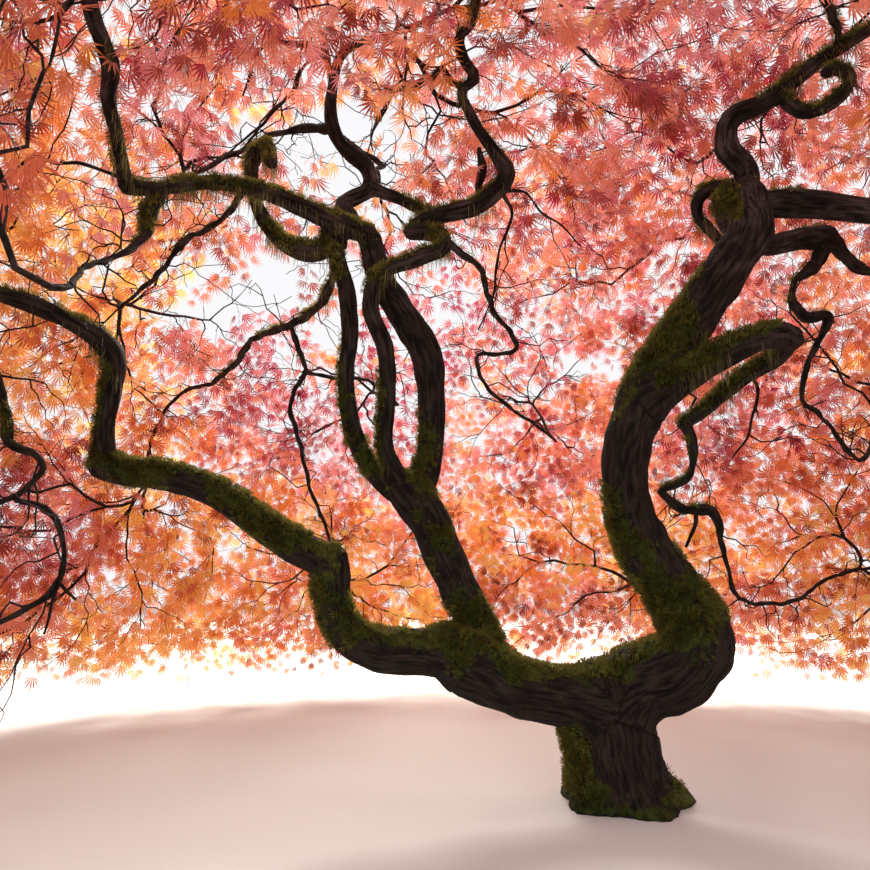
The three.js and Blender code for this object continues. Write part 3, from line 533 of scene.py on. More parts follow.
# Finer boughs that fork from the limbs, each given as a limb is
SIDE_BOUGHS = {
    "fork_left": [
        (-0.783, 0.1, 2.036, 0.026), (-0.785, 0.06, 2.068, 0.024), (-0.797, 0.03, 2.104, 0.024),
        (-0.836, 0.02, 2.113, 0.021), (-0.879, 0.02, 2.131, 0.02), (-0.929, 0.02, 2.138, 0.019),
        (-0.977, 0.02, 2.131, 0.017), (-0.994, 0, 2.083, 0.009), (-1.009, -0.02, 1.994, 0.007),
        (-1.023, -0.03, 1.916, 0.005),
    ],
    "fork_low": [
        (-0.806, 0.03, 2.104, 0.017), (-0.847, 0.05, 2.103, 0.016), (-0.888, 0.08, 2.081, 0.015),
        (-0.906, 0.1, 2.032, 0.014), (-0.976, 0.14, 1.994, 0.012), (-1.013, 0.16, 1.958, 0.01),
        (-1.098, 0.2, 1.913, 0.008), (-1.163, 0.25, 1.888, 0.006),
    ],
    "fork_high": [
        (-0.929, 0.02, 2.138, 0.014), (-1, -0.05, 2.2, 0.012), (-1.073, -0.1, 2.198, 0.012),
        (-1.093, -0.1, 2.099, 0.01), (-1.123, -0.1, 2.039, 0.009), (-1.156, -0.1, 2.009, 0.008),
        (-1.197, -0.1, 1.983, 0.007), (-1.264, -0.1, 1.97, 0.005),
    ],
    "curl_side": [
        (-0.386, -0.15, 1.856, 0.026), (-0.419, -0.16, 1.867, 0.022), (-0.441, -0.18, 1.889, 0.017),
        (-0.474, -0.16, 1.867, 0.015), (-0.493, -0.15, 1.875, 0.022), (-0.529, -0.14, 1.861, 0.024),
        (-0.569, -0.12, 1.867, 0.019), (-0.592, -0.1, 1.85, 0.009), (-0.629, -0.06, 1.802, 0.008),
        (-0.643, -0.05, 1.755, 0.006), (-0.637, -0.04, 1.726, 0.004),
    ],
    "curl_shoot": [
        (-0.323, 0.06, 1.633, 0.024), (-0.329, 0.06, 1.676, 0.026), (-0.32, 0.05, 1.726, 0.026),
        (-0.326, 0.04, 1.762, 0.024), (-0.328, 0.04, 1.792, 0.016),
    ],
    "curl_fall": [
        (-0.27, 0.03, 1.65, 0.014), (-0.233, 0.05, 1.582, 0.012), (-0.242, 0.06, 1.542, 0.009),
        (-0.265, 0.08, 1.495, 0.008), (-0.279, 0.1, 1.418, 0.008), (-0.288, 0.12, 1.354, 0.007),
        (-0.313, 0.15, 1.297, 0.006), (-0.331, 0.16, 1.262, 0.005),
    ],
    "curl_fall_side": [
        (-0.271, 0.02, 1.64, 0.012), (-0.19, 0.05, 1.65, 0.008), (-0.143, 0.08, 1.605, 0.007),
        (-0.084, 0.1, 1.577, 0.006), (-0.018, 0.14, 1.525, 0.005),
    ],
    "left_twig": [
        (-1.25, -0.26, 1.512, 0.014), (-1.28, -0.28, 1.515, 0.01), (-1.329, -0.3, 1.525, 0.009),
        (-1.376, -0.32, 1.512, 0.008), (-1.417, -0.34, 1.518, 0.008), (-1.443, -0.36, 1.473, 0.007),
        (-1.467, -0.38, 1.419, 0.006),
    ],
    "corner_twig": [
        (-1.18, -0.66, 1.68, 0.014), (-1.23, -0.64, 1.634, 0.01), (-1.274, -0.62, 1.642, 0.009),
        (-1.344, -0.6, 1.662, 0.008), (-1.413, -0.6, 1.684, 0.007),
    ],
    "corner_fall": [
        (-1.215, -0.65, 1.646, 0.008), (-1.233, -0.62, 1.609, 0.007), (-1.25, -0.6, 1.576, 0.007),
        (-1.273, -0.58, 1.556, 0.006), (-1.327, -0.56, 1.543, 0.005), (-1.387, -0.54, 1.532, 0.005),
    ],
    "right_twig": [
        (0.37, -0.03, 1.76, 0.012), (0.39, 0.15, 1.83, 0.01), (0.401, 0.3, 1.913, 0.009),
        (0.352, 0.3, 1.946, 0.008), (0.311, 0.32, 2.006, 0.008), (0.251, 0.35, 2.061, 0.007),
        (0.201, 0.36, 2.056, 0.007), (0.148, 0.38, 2.023, 0.006), (0.096, 0.4, 2.016, 0.005),
    ],
    "stub_twig": [
        (0.43, 0.09, 1.11, 0.012), (0.482, 0.14, 1.073, 0.009), (0.467, 0.16, 1, 0.008),
        (0.458, 0.18, 0.945, 0.007), (0.414, 0.2, 0.88, 0.005),
    ],
    "weeper_twig": [
        (0.31, 0.24, 0.724, 0.012), (0.304, 0.24, 0.684, 0.011), (0.287, 0.25, 0.644, 0.012),
        (0.28, 0.26, 0.624, 0.008),
    ],
    "weeper_left": [
        (-1.286, -0.48, 0.679, 0.009), (-1.314, -0.48, 0.667, 0.008), (-1.347, -0.48, 0.649, 0.007),
    ],
    "weeper_low": [
        (-1.17, -0.51, 0.513, 0.009), (-1.176, -0.51, 0.478, 0.008), (-1.178, -0.51, 0.449, 0.007),
        (-1.189, -0.5, 0.42, 0.005),
    ],
    "weeper_low_right": [
        (-1.171, -0.51, 0.518, 0.007), (-1.153, -0.5, 0.496, 0.006), (-1.141, -0.49, 0.482, 0.005),
    ],
}

# Limbs that end in a round knuckle, inside which later ones start; the others end where twigs grow on
KNUCKLED = (
    "trunk", "right_stem", "left_stem", "left_low", "left_mid", "mid_stem", "mid_right", "mid_centre",
    "mid_left", "high_left", "high_bridge", "knot", "top_right_curl", "right_behind", "stub_out",
    "stub_back",
)

# Old wood is skinned over in two bodies, and the thin boughs are swept one by one
OLD_WOOD = {
    "trunk_and_stems": (
        "trunk", "right_stem", "left_stem", "left_low", "left_mid", "mid_stem", "stub_out", "stub_back",
    ),
    "upper_boughs": (
        "left_rise", "mid_left", "mid_right", "mid_centre", "upper_curl", "high_left", "high_left_rise",
        "high_top", "high_bridge", "knot", "top_right", "top_right_curl", "right_arm", "right_behind",
        "back_high",
    ),
}

# Each mass of leaves fills one wedge of the dome: the degrees that it spans round the heart, counted from
# the right towards the back, and the degrees that it spans above the heart's level
MASSES = {
    "skirt_right_front": ("right_arm", (-35, 6), (-4, 24)),
    "skirt_right": ("stub_weeper", (6, 50), (-4, 24)),
    "skirt_back_right": ("back_low", (50, 92), (-4, 24)),
    "skirt_back": ("back_left_low", (92, 136), (-4, 24)),
    "skirt_back_left": ("back_left", (136, 176), (-4, 24)),
    "skirt_left": ("left_weeper", (176, 224), (-4, 24)),
    "side_right_front": ("right_far", (-35, 8), (24, 50)),
    "side_right": ("right_weeper", (8, 40), (24, 50)),
    "side_back_right": ("back_right", (40, 66), (24, 50)),
    "side_back": ("back_mid", (66, 100), (24, 50)),
    "side_back_left": ("back_centre", (100, 137), (24, 50)),
    "side_left_back": ("droop_inner", (137, 175), (24, 50)),
    "side_left": ("left_rise", (175, 210), (24, 50)),
    "side_left_front": ("droop_left", (210, 236), (22, 42)),
    "brow_left": ("high_left_rise", (206, 245), (42, 70)),
    "brow_middle": ("upper_curl", (245, 284), (38, 70)),
    "brow_right": ("top_right_rise", (284, 320), (38, 70)),
    "top_right_mass": ("top_right", (-40, 22), (50, 70)),
    "top_back_right": ("back_high", (22, 88), (50, 70)),
    "top_back_left": ("top_back", (88, 146), (50, 70)),
    "top_left_mass": ("top_left", (146, 206), (50, 70)),
    "crown_top": ("high_top", (0, 360), (70, 90)),
}

# Where the crown lies open to the sky: a centre, a radius and the share of sprays that is left there
SKY_GAPS = (
    ((-0.85, 1.45, 1.95), 1.15, 0.30),
    ((-0.60, 0.75, 2.4), 0.85, 0.16),
    ((-1.4, 1.2, 1.95), 0.6, 0.45),
)

# Bark from its furrows to its ridges, where the dark of the furrows is partly painted shade and the light of
# the ridges partly painted light; moss from its depths, on bark darker partly by painted shade, to its tips,
# on bark lighter partly by painted highlight, and to its tips on high boughs, brighter by painted light; and
# the rest, as red, green and blue in linear light
LOW_BARK = ((0.004, 0.003, 0.0025), (0.036, 0.025, 0.019))
HIGH_BARK = ((0.010, 0.007, 0.006), (0.105, 0.078, 0.072))
YOUNG_BARK = ((0.008, 0.005, 0.004), (0.045, 0.026, 0.023))
BARK_MOSS_DEPTHS_AND_PAINTED_SHADE = ((0.005, 0.009, 0.002), (0.040, 0.055, 0.008))
BARK_MOSS_TIPS_AND_PAINTED_HIGHLIGHT = ((0.12, 0.125, 0.022), (0.27, 0.24, 0.055))
# The last green of moss blades and strands is painted light, used on high boughs
MOSS_BLADES = ((0.012, 0.020, 0.004), (0.13, 0.14, 0.026), (0.34, 0.29, 0.07))
MOSS_STRANDS = ((0.02, 0.025, 0.008), (0.14, 0.14, 0.05), (0.34, 0.31, 0.12))
FLOOR_COLOUR = (0.62, 0.61, 0.59)
SKY_COLOUR = (0.98, 0.975, 1.0)
SKY_STRENGTH = 0.98

# Autumn tints from gold to crimson
TINTS = {
    "gold": (0.92, 0.58, 0.15),
    "apricot": (0.90, 0.42, 0.14),
    "orange": (0.78, 0.25, 0.055),
    "coral": (0.63, 0.15, 0.075),
    # Brick is partly a deep leaf tint and partly painted shade: darker sprays dealt out among the other tints
    "brick": (0.30, 0.045, 0.028),
    "salmon": (0.85, 0.31, 0.20),
    "pink": (0.79, 0.27, 0.28),
    "rose": (0.44, 0.07, 0.09),
    "crimson": (0.38, 0.015, 0.05),
}


class Value:
    """A node's output that can stand in an expression: each operator adds the Math node that it needs."""

    def __init__(self, nodes, socket):
        self.nodes, self.socket = nodes, socket

    def math(self, operation, *others):
        inputs = dict(enumerate((self, *others)))
        return self.nodes.value("ShaderNodeMath", {"operation": operation}, inputs)

    def __add__(self, other):
        return self.math("ADD", other)

    def __sub__(self, other):
        return self.math("SUBTRACT", other)

    def __mul__(self, other):
        return self.math("MULTIPLY", other)

    def __rsub__(self, other):
        return (self * -1) + other

    __radd__ = __add__
    __rmul__ = __mul__

    def step(self, low, high):
        """0 below low, 1 above high, and smooth between them"""
        inputs = {0: self, "From Min": low, "From Max": high}
        return self.nodes.value("ShaderNodeMapRange", {"interpolation_type": "SMOOTHSTEP"}, inputs)


class Nodes:
    """A node tree, with one way of adding a node: its type, its settings, then values or links."""

    def __init__(self, tree):
        self.tree = tree

    def add(self, kind, settings=None, inputs=None):
        node = self.tree.nodes.new(kind)
        for name, setting in (settings or {}).items():
            setattr(node, name, setting)
        for key, value in (inputs or {}).items():
            socket = node.inputs[key]
            if isinstance(value, Value):
                self.tree.links.new(value.socket, socket)
            else:
                socket.default_value = value
        return node

    def value(self, kind, settings=None, inputs=None, output=0):
        return Value(self, self.add(kind, settings, inputs).outputs[output])


def radical_inverse(count, base):
    """Shares from 0 to 1 that fill the range evenly, however many are drawn"""
    index = np.arange(1, count + 1)
    total = np.zeros(count)
    share = 1 / base
    while index.any():
        total += (index % base) * share
        index = index // base
        share /= base
    return total


def unit(rows):
    rows = np.asarray(rows, float)
    return rows / np.maximum(np.linalg.norm(rows, axis=-1, keepdims=True), 1e-9)


def between(low, high, share):
    return low + (high - low) * share


def dome_reach(bearing, rise):
    """How far the dome's surface lies from the heart, in directions given by two angles"""
    flat = np.hypot(np.cos(bearing) / CROWN_HALF_WIDTH, np.sin(bearing) / CROWN_HALF_DEPTH)
    across = (np.cos(rise) * flat) ** CROWN_SQUARENESS
    upward = (np.abs(np.sin(rise)) / (CROWN_HEIGHT - HEART[2])) ** CROWN_SQUARENESS
    billow = 1 - BILLOW * (0.5 - 0.5 * np.cos(BILLOWS_ROUND * bearing) * np.cos(rise))
    return billow * (across + upward) ** (-1 / CROWN_SQUARENESS)


def dome_point(bearing, rise, share):
    reach = share * dome_reach(bearing, rise)
    way = np.stack([np.cos(rise) * np.cos(bearing), np.cos(rise) * np.sin(bearing), np.sin(rise)], -1)
    return HEART + reach[..., None] * way


def dome_share(points):
    """How far out points lie, from 0 at the heart to 1 on the dome"""
    spokes = points - HEART
    level = np.hypot(spokes[..., 0], spokes[..., 1])
    bearing = np.arctan2(spokes[..., 1], spokes[..., 0])
    rise = np.arctan2(spokes[..., 2], level)
    return np.linalg.norm(spokes, axis=-1) / dome_reach(bearing, rise)


def smooth_line(bends, step):
    """Rows a step or so apart on a smooth line through a limb's bends: place and thickness"""
    bends = np.array(bends, float)
    ends = np.vstack([2 * bends[0] - bends[1], bends, 2 * bends[-1] - bends[-2]])
    rows = []
    for a, b, c, d in zip(ends, ends[1:], ends[2:], ends[3:]):
        spans = [math.sqrt(np.linalg.norm((far - near)[:3])) for near, far in ((a, b), (b, c), (c, d))]
        t0, t1, t2, t3 = np.concatenate([[0], np.cumsum(spans)])
        count = max(2, round(np.linalg.norm((c - b)[:3]) / step))
        t = np.linspace(t1, t2, count, endpoint=False)[:, None]
        ab = between(a, b, (t - t0) / (t1 - t0))
        bc = between(b, c, (t - t1) / (t2 - t1))
        cd = between(c, d, (t - t2) / (t3 - t2))
        abc = between(ab, bc, (t - t0) / (t2 - t0))
        bcd = between(bc, cd, (t - t1) / (t3 - t1))
        rows.append(between(abc, bcd, (t - t1) / (t2 - t1)))
    rows.append(bends[-1:])
    return np.vstack(rows)


def tangents(places):
    return unit(np.gradient(places, axis=0))


def rings_along(rows, sides, ridges=None):
    """Rings square to a line at each row, none twisted against the one before it"""
    places, radii = rows[:, :3], rows[:, 3] / 2
    angles = 2 * math.pi * np.arange(sides) / sides
    side = np.array([1.0, 0, 0])
    rings = []
    for place, way, radius in zip(places, tangents(places), radii):
        if ridges is not None:
            way = np.array([0, 0, 1.0])
        side = unit(side - way * side.dot(way))
        up = np.cross(way, side)
        reach = radius * (ridges(place[2], angles) if ridges else np.ones(sides))
        turn = np.cos(angles)[:, None] * side + np.sin(angles)[:, None] * up
        rings.append(place + reach[:, None] * turn)
    return rings


def root_ridges(height, angles):
    left = max(0, 1 - height / ROOT_RIDGE_HEIGHT)
    return 1 + ROOT_RIDGE_SHARE * left * left * np.cos(ROOT_RIDGES * angles)


def knuckle_rows(rows):
    """Rows that round off the end of a blunt limb"""
    last = rows[-1]
    way = tangents(rows[:, :3])[-1]
    lean = np.radians(KNUCKLE_LEANS_DEG)
    places = last[:3] + np.sin(lean)[:, None] * way * last[3] / 2
    return np.vstack([rows, np.column_stack([places, np.cos(lean) * last[3]])])


def limb_rows(name, step):
    """The rows of a limb, from inside the one that carries it to its end"""
    rows = smooth_line(LIMBS[name], step)
    return knuckle_rows(rows) if name in KNUCKLED else rows


def skin(rings):
    """Points and faces of a closed skin over rings of the same count"""
    sides = len(rings[0])
    faces = [list(range(sides))[::-1]]
    for low in range(0, (len(rings) - 1) * sides, sides):
        for a in range(sides):
            b = (a + 1) % sides
            faces.append([low + a, low + b, low + sides + b, low + sides + a])
    top = (len(rings) - 1) * sides
    faces.append(list(range(top, top + sides)))
    return np.vstack(rings), faces


def mesh_of(name, points, faces=(), edges=()):
    mesh = bpy.data.meshes.new(name)
    mesh.from_pydata(np.asarray(points).tolist(), edges, faces)
    mesh.update()
    return mesh


def put(name, mesh):
    piece = bpy.data.objects.new(name, mesh)
    bpy.context.scene.collection.objects.link(piece)
    return piece


def joined_skins(skins):
    points, faces, start = [], [], 0
    for some_points, some_faces in skins:
        points.append(some_points)
        faces += [[start + corner for corner in face] for face in some_faces]
        start += len(some_points)
    return np.vstack(points), faces


def applied(piece):
    """The piece's plain mesh after its modifiers, which then come off"""
    graph = bpy.context.evaluated_depsgraph_get()
    graph.update()
    mesh = bpy.data.meshes.new_from_object(piece.evaluated_get(graph))
    old = piece.data
    piece.modifiers.clear()
    piece.data = mesh
    bpy.data.meshes.remove(old)
    return piece


def write_attribute(mesh, name, values):
    """Gives each point of a mesh a number or a vector"""
    values = np.asarray(values, np.float32)
    kind, part = ("FLOAT_VECTOR", "vector") if values.ndim == 2 else ("FLOAT", "value")
    mesh.attributes.new(name, kind, "POINT").data.foreach_set(part, values.ravel())


def smooth_shaded(mesh):
    mesh.polygons.foreach_set("use_smooth", [True] * len(mesh.polygons))


def vectors_in(rows, part):
    vectors = np.zeros(len(rows) * 3)
    rows.foreach_get(part, vectors)
    return vectors.reshape(-1, 3)


def field(points, size, kind):
    """Smooth noise from -1 to 1 over places, with features of a given size"""
    place = NOISE_PLACES[kind]
    shift = Vector((place, -place, 2 * place))
    return np.array([noise.noise(Vector(point) / size + shift) for point in points])


def walked_along(places):
    return np.concatenate([[0], np.cumsum(np.linalg.norm(np.diff(places, axis=0), axis=1))])


def nearest_rows(points, rows):
    """For each point, the number of the row that lies nearest to it, and how far off that is"""
    tree = kdtree.KDTree(len(rows))
    for index, row in enumerate(rows):
        tree.insert(row[:3], index)
    tree.balance()
    found = [tree.find(point)[1:] for point in points]
    return np.array([index for index, _ in found]), np.array([far for _, far in found])


def bark_coordinates(points, lines):
    """For each point of wood, how far it lies along its limb, its way round it and the limb's radius"""
    rows = np.vstack(lines)
    ways = np.vstack([tangents(line[:, :3]) for line in lines])
    walked = np.concatenate([walked_along(line[:, :3]) for line in lines])
    nearest, _ = nearest_rows(points, rows)
    spokes = points - rows[nearest, :3]
    way = ways[nearest]
    spokes -= way * (spokes * way).sum(1, keepdims=True)
    side = unit(np.cross(way, BARK_SEAM))
    up = np.cross(way, side)
    around = np.arctan2((spokes * up).sum(1), (spokes * side).sum(1))
    return walked[nearest], around, rows[nearest, 3] / 2


def mossiness(points, normals, thickness):
    """Where moss lies: on the upper side of thick wood, in patches, and most of all near the ground. And
    where its strands hang: from the flanks of the same places."""
    patches = field(points, MOSS_PATCH, "moss patches")
    patches += SMALL_MOSS_PATCHES * field(points, SMALL_MOSS_PATCH, "small moss patches")
    low = np.clip(1 - points[:, 2] / MOSS_TOP, 0, 1)
    likes = MOSS_BASE + MOSS_PATCHES * patches + MOSS_LOW_DOWN * low
    for place, reach, change in MOSS_PLACES:
        far = np.linalg.norm(points - place, axis=1)
        likes += change * np.clip(MOSS_PLACE_EDGE - MOSS_PLACE_EDGE * far / reach, 0, 1)
    room = np.clip((thickness - BARE_THICKNESS) / (MOSSY_THICKNESS - BARE_THICKNESS), 0, 1)
    flank = np.clip(1 - np.abs(normals[:, 2] - FRINGE_FACES) / FRINGE_SPREAD, 0, 1)
    moss = np.clip(likes + MOSS_ON_TOP * (normals @ unit(MOSS_SIDE)), 0, 1)
    return moss * room, np.clip(likes + FRINGE_MORE, 0, 1) * flank * room


def relief(points, along, around, radius):
    """How far bark stands out: swellings, flutes that run along the limb, and fine ridges"""
    twist = around + BARK_TWIST * along
    ring = np.column_stack([np.cos(twist), np.sin(twist), np.zeros(len(twist))])
    flutes = ring * FLUTES + np.column_stack([np.zeros((len(twist), 2)), along / FLUTE_LENGTH])
    ridges = ring * radius[:, None] / RIDGE_WIDTH
    ridges[:, 2] = along / RIDGE_LENGTH
    swelling = field(points, LUMP_SIZE, "lumps") + SMALL_LUMPS * field(points, SMALL_LUMP_SIZE, "small lumps")
    height = LUMP_SHARE * radius * swelling
    height += FLUTE_SHARE * radius * field(flutes, 1, "flutes")
    ridge = RIDGE_LEVEL - np.abs(field(ridges, 1, "ridges")) * RIDGE_SHARPNESS
    return height + RIDGE_HEIGHT * np.minimum(radius / RIDGED_RADIUS, 1) * ridge


def old_wood(name, limbs):
    """Thick limbs grown together under one skin, with bark relief and moss"""
    skins = []
    for limb in limbs:
        rows = limb_rows(limb, SKIN_STEP)
        skins.append(skin(rings_along(rows, SKIN_SIDES, root_ridges if limb == "trunk" else None)))
    piece = put(name, mesh_of(name, *joined_skins(skins)))
    remesh = piece.modifiers.new("one skin", "REMESH")
    remesh.mode = "VOXEL"
    remesh.voxel_size = SKIN_VOXEL
    smooth = piece.modifiers.new("soft joins", "SMOOTH")
    smooth.factor = SKIN_SMOOTHING
    smooth.iterations = SKIN_SMOOTHINGS
    applied(piece)
    weathered(piece, [limb_rows(limb, BARK_LINE_STEP) for limb in limbs])
    return piece


def weathered(piece, lines):
    """Gives wood that grew along some lines its bark relief and moss, and what the finishes read"""
    mesh = piece.data
    places, normals = vectors_in(mesh.vertices, "co"), vectors_in(mesh.vertex_normals, "vector")
    along, around, radius = bark_coordinates(places, lines)
    moss, fringe = mossiness(places, normals, radius * 2)
    cushions = 1 - CUSHION_DIPS + CUSHION_DIPS * field(places, MOSS_CUSHION, "cushions")
    out = relief(places, along, around, radius) * (1 - RELIEF_UNDER_MOSS * moss)
    out = out + MOSS_DEPTH * moss * (cushions - 1) - SLIMMER * radius
    off_ground = np.clip(places[:, 2] / RELIEF_FROM_GROUND, 0, 1)
    moved = places + normals * (out * off_ground)[:, None]
    moved[:, 2] = np.maximum(moved[:, 2], 0)
    mesh.vertices.foreach_set("co", moved.ravel())
    grain = np.column_stack([np.cos(around) * radius, np.sin(around) * radius, along])
    write_attribute(mesh, "moss", moss)
    write_attribute(mesh, "tufts", moss * np.floor(off_ground))
    write_attribute(mesh, "fringe", fringe * np.clip(places[:, 2] / FULL_FRINGE - FRINGE_FROM, 0, 1))
    write_attribute(mesh, "grain", grain)
    smooth_shaded(mesh)
    mesh.update()


def kept_by_sky(points, rng):
    """False for some of the places where the crown lies open to the sky"""
    share = between(*LEAVES_LEFT, np.clip(points[:, 2] - LOW_LEAVES, 0, 1))
    for centre, radius, left in SKY_GAPS:
        away = np.linalg.norm(points - np.array(centre), axis=1) / radius
        share = share * between(left, 1, np.clip(2 * away - 1, 0, 1))
    return rng.random(len(points)) < share


def mass_tips(bearings, rises, shell):
    """The places in a wedge of the dome that its twigs reach for"""
    (from_bearing, to_bearing), (low, high) = np.radians(bearings), np.radians(rises)
    middle = dome_reach((from_bearing + to_bearing) / 2, (low + high) / 2)
    area = middle**2 * (to_bearing - from_bearing) * (math.sin(high) - math.sin(low))
    depth = (shell[1] - shell[0]) / (SHELL[1] - SHELL[0])
    round_share, rise_share, out_share = (
        radical_inverse(round(area * depth * TIPS_ON_A_METRE), base) for base in (2, 3, 5))
    bearing = between(from_bearing, to_bearing, round_share)
    rise = np.arcsin(between(math.sin(low), math.sin(high), rise_share))
    tips = dome_point(bearing, rise, between(*shell, out_share))
    return tips[tips[:, 2] > LOWEST_LEAF + SPRAY_LENGTH / 2]


class Growth:
    """Twigs that branch from one stem. Every place but the first is joined to an older one."""

    def __init__(self, start, way, room):
        self.places = np.zeros((room, 3))
        self.ways = np.zeros((room, 3))
        self.walks = np.zeros(room)
        self.parents = np.full(room, -1)
        self.twigs = []
        self.count = 1
        self.places[0], self.ways[0] = start, way

    def cheapest_join(self, tip):
        places, ways = self.places[:self.count], self.ways[:self.count]
        reach = tip - places
        far = np.linalg.norm(reach, axis=1) + 1e-6
        turn = 1 - (reach * ways).sum(1) / far
        return int(np.argmin(far * (1 + TURN_COST * turn) + WALK_COST * self.walks[:self.count]))

    def add_twig(self, tip, rng, lead=None):
        """Joins a tip to the cheapest place. A lead keeps the twig to the way that it starts on."""
        join = self.cheapest_join(tip)
        root, way = self.places[join], self.ways[join]
        length = np.linalg.norm(tip - root)
        bend = root + lead * length * way if lead else (
            root + TWIG_LEAD * length * unit(way + TWIG_AIM * unit(tip - root)))
        t = np.linspace(0, 1, TWIG_STEPS + 1)[1:, None]
        line = bent_line(root, bend, tip, t)
        swing = np.sin(math.pi * t)
        line[:, 2:] -= TWIG_SAG * length * swing
        line += TWIG_WANDER * length * swing * rng.normal(size=line.shape)
        steps = np.diff(np.vstack([root, line]), axis=0)
        first, last = self.count, self.count + TWIG_STEPS
        self.places[first:last] = line
        self.ways[first:last] = unit(steps)
        self.walks[first:last] = self.walks[join] + np.cumsum(np.linalg.norm(steps, axis=1))
        self.parents[first:last] = [join, *range(first, last - 1)]
        self.twigs.append((join, first, last))
        self.count = last

    def thicknesses(self, thickest):
        """Each place is as thick as the tips that it carries ask for"""
        carried = np.zeros(self.count)
        for _, _, last in self.twigs:
            carried[last - 1] += 1
        for place in range(self.count - 1, 0, -1):
            carried[self.parents[place]] += carried[place]
        return np.minimum(2 * FINEST_TWIG * np.maximum(carried, 1) ** TWIG_GROWTH, thickest)

    def rows(self, thickest):
        """One list of rows, place and thickness, for each twig from its join to its tip"""
        thick = self.thicknesses(thickest)
        twigs = []
        for join, first, last in self.twigs:
            index = [join, *range(first, last)]
            rows = np.column_stack([self.places[index], thick[index]])
            rows[0, 3] = rows[1, 3]
            twigs.append(rows)
        return twigs


def grow(bough, bearings, rises, shell, seed):
    """The twigs of one mass of leaves, grown on from the end of its bough"""
    rng = np.random.default_rng(seed)
    rows = limb_rows(bough, STEM_LINE_STEP)
    start, way = rows[-1, :3], tangents(rows[:, :3])[-1]
    tips = mass_tips(bearings, rises, shell)
    growth = Growth(start, way, (len(tips) + 2) * TWIG_STEPS + 1)
    middle = dome_point(*(np.radians(sum(pair) / 2) for pair in (bearings, rises)), shell[1])
    growth.add_twig(between(start, middle, STEM_REACH), rng, STEM_LEAD)
    for tip in tips:
        growth.add_twig(tip, rng)
    return growth.rows(STEM_THICKNESS_SHARE * rows[-1, 3])


def turned(ways, axes, angles):
    """Ways turned about axes by angles"""
    cos, sin = np.cos(angles)[:, None], np.sin(angles)[:, None]
    along = (axes * ways).sum(1, keepdims=True) * axes
    return ways * cos + np.cross(axes, ways) * sin + along * (1 - cos)


def hanging_ways(outward, fans):
    """The way that sprays hang: down at the crown's sides and more level on its top, turned by a fan angle"""
    level = unit(outward * (1, 1, 0))
    drop = between(*DROOP_SIDE_TO_TOP, outward[:, 2:])
    return unit(turned((1 - drop) * level - drop * (0, 0, 1), outward, fans))


def spray_roots(twigs):
    """Where sprays start: at each twig's tip and at places beside it, with their ways and fan angles"""
    roots, ways, fans = [], [], []
    for index, twig in enumerate(twigs):
        places = twig[:, :3]
        steps = unit(np.diff(places, axis=0))
        roots.append(places[-1])
        ways.append(steps[-1])
        fans.append(TIP_FAN_DEG[index % len(TIP_FAN_DEG)])
        for number, share in enumerate(SIDE_PLACES):
            place = share * (len(places) - 1)
            low = int(place)
            roots.append(between(places[low], places[low + 1], place - low))
            ways.append(steps[low])
            side = 1 if (index + number) % 2 else -1
            fans.append(side * SIDE_FAN_DEG[index % len(SIDE_FAN_DEG)])
    return np.array(roots), np.array(ways), np.radians(fans)


def clear_of_wood(points):
    """False for places in or close to a limb"""
    rows = np.vstack([limb_rows(limb, WOOD_LINE_STEP) for limb in LIMBS])
    nearest, far = nearest_rows(points, rows)
    return far > rows[nearest, 3] / 2 + LEAF_CLEARANCE


def leaves_wood_in_sight(points):
    """False for places too near the eye, or between it and a limb that is seen from there. A veil of
    leaves is left along the top, in the middle."""
    limbs = [limb for limb in LIMBS if not limb.startswith("back")]
    rows = np.vstack([limb_rows(limb, WOOD_LINE_STEP) for limb in limbs])
    far, reach = (np.linalg.norm(places - EYE, axis=1) for places in (points, rows[:, :3]))
    sight = unit(points - EYE)
    nearest, apart = nearest_rows(sight, unit(rows[:, :3] - EYE))
    hidden = (far < reach[nearest]) & (apart < (rows[nearest, 3] / 2 + SIGHT_ROOM) / reach[nearest])
    veil = (sight[:, 2] > VEIL_RISE) & (np.abs(sight[:, 0]) < VEIL_HALF_WIDTH)
    return (veil | ~hidden) & (far > np.where(veil, VEIL_FROM_THE_EYE, OPEN_AT_THE_EYE))


def bent_line(starts, bends, ends, t):
    """Places on curves that leave their starts towards their bends, a share of the way to their ends"""
    return (1 - t) ** 2 * starts + 2 * t * (1 - t) * bends + t**2 * ends


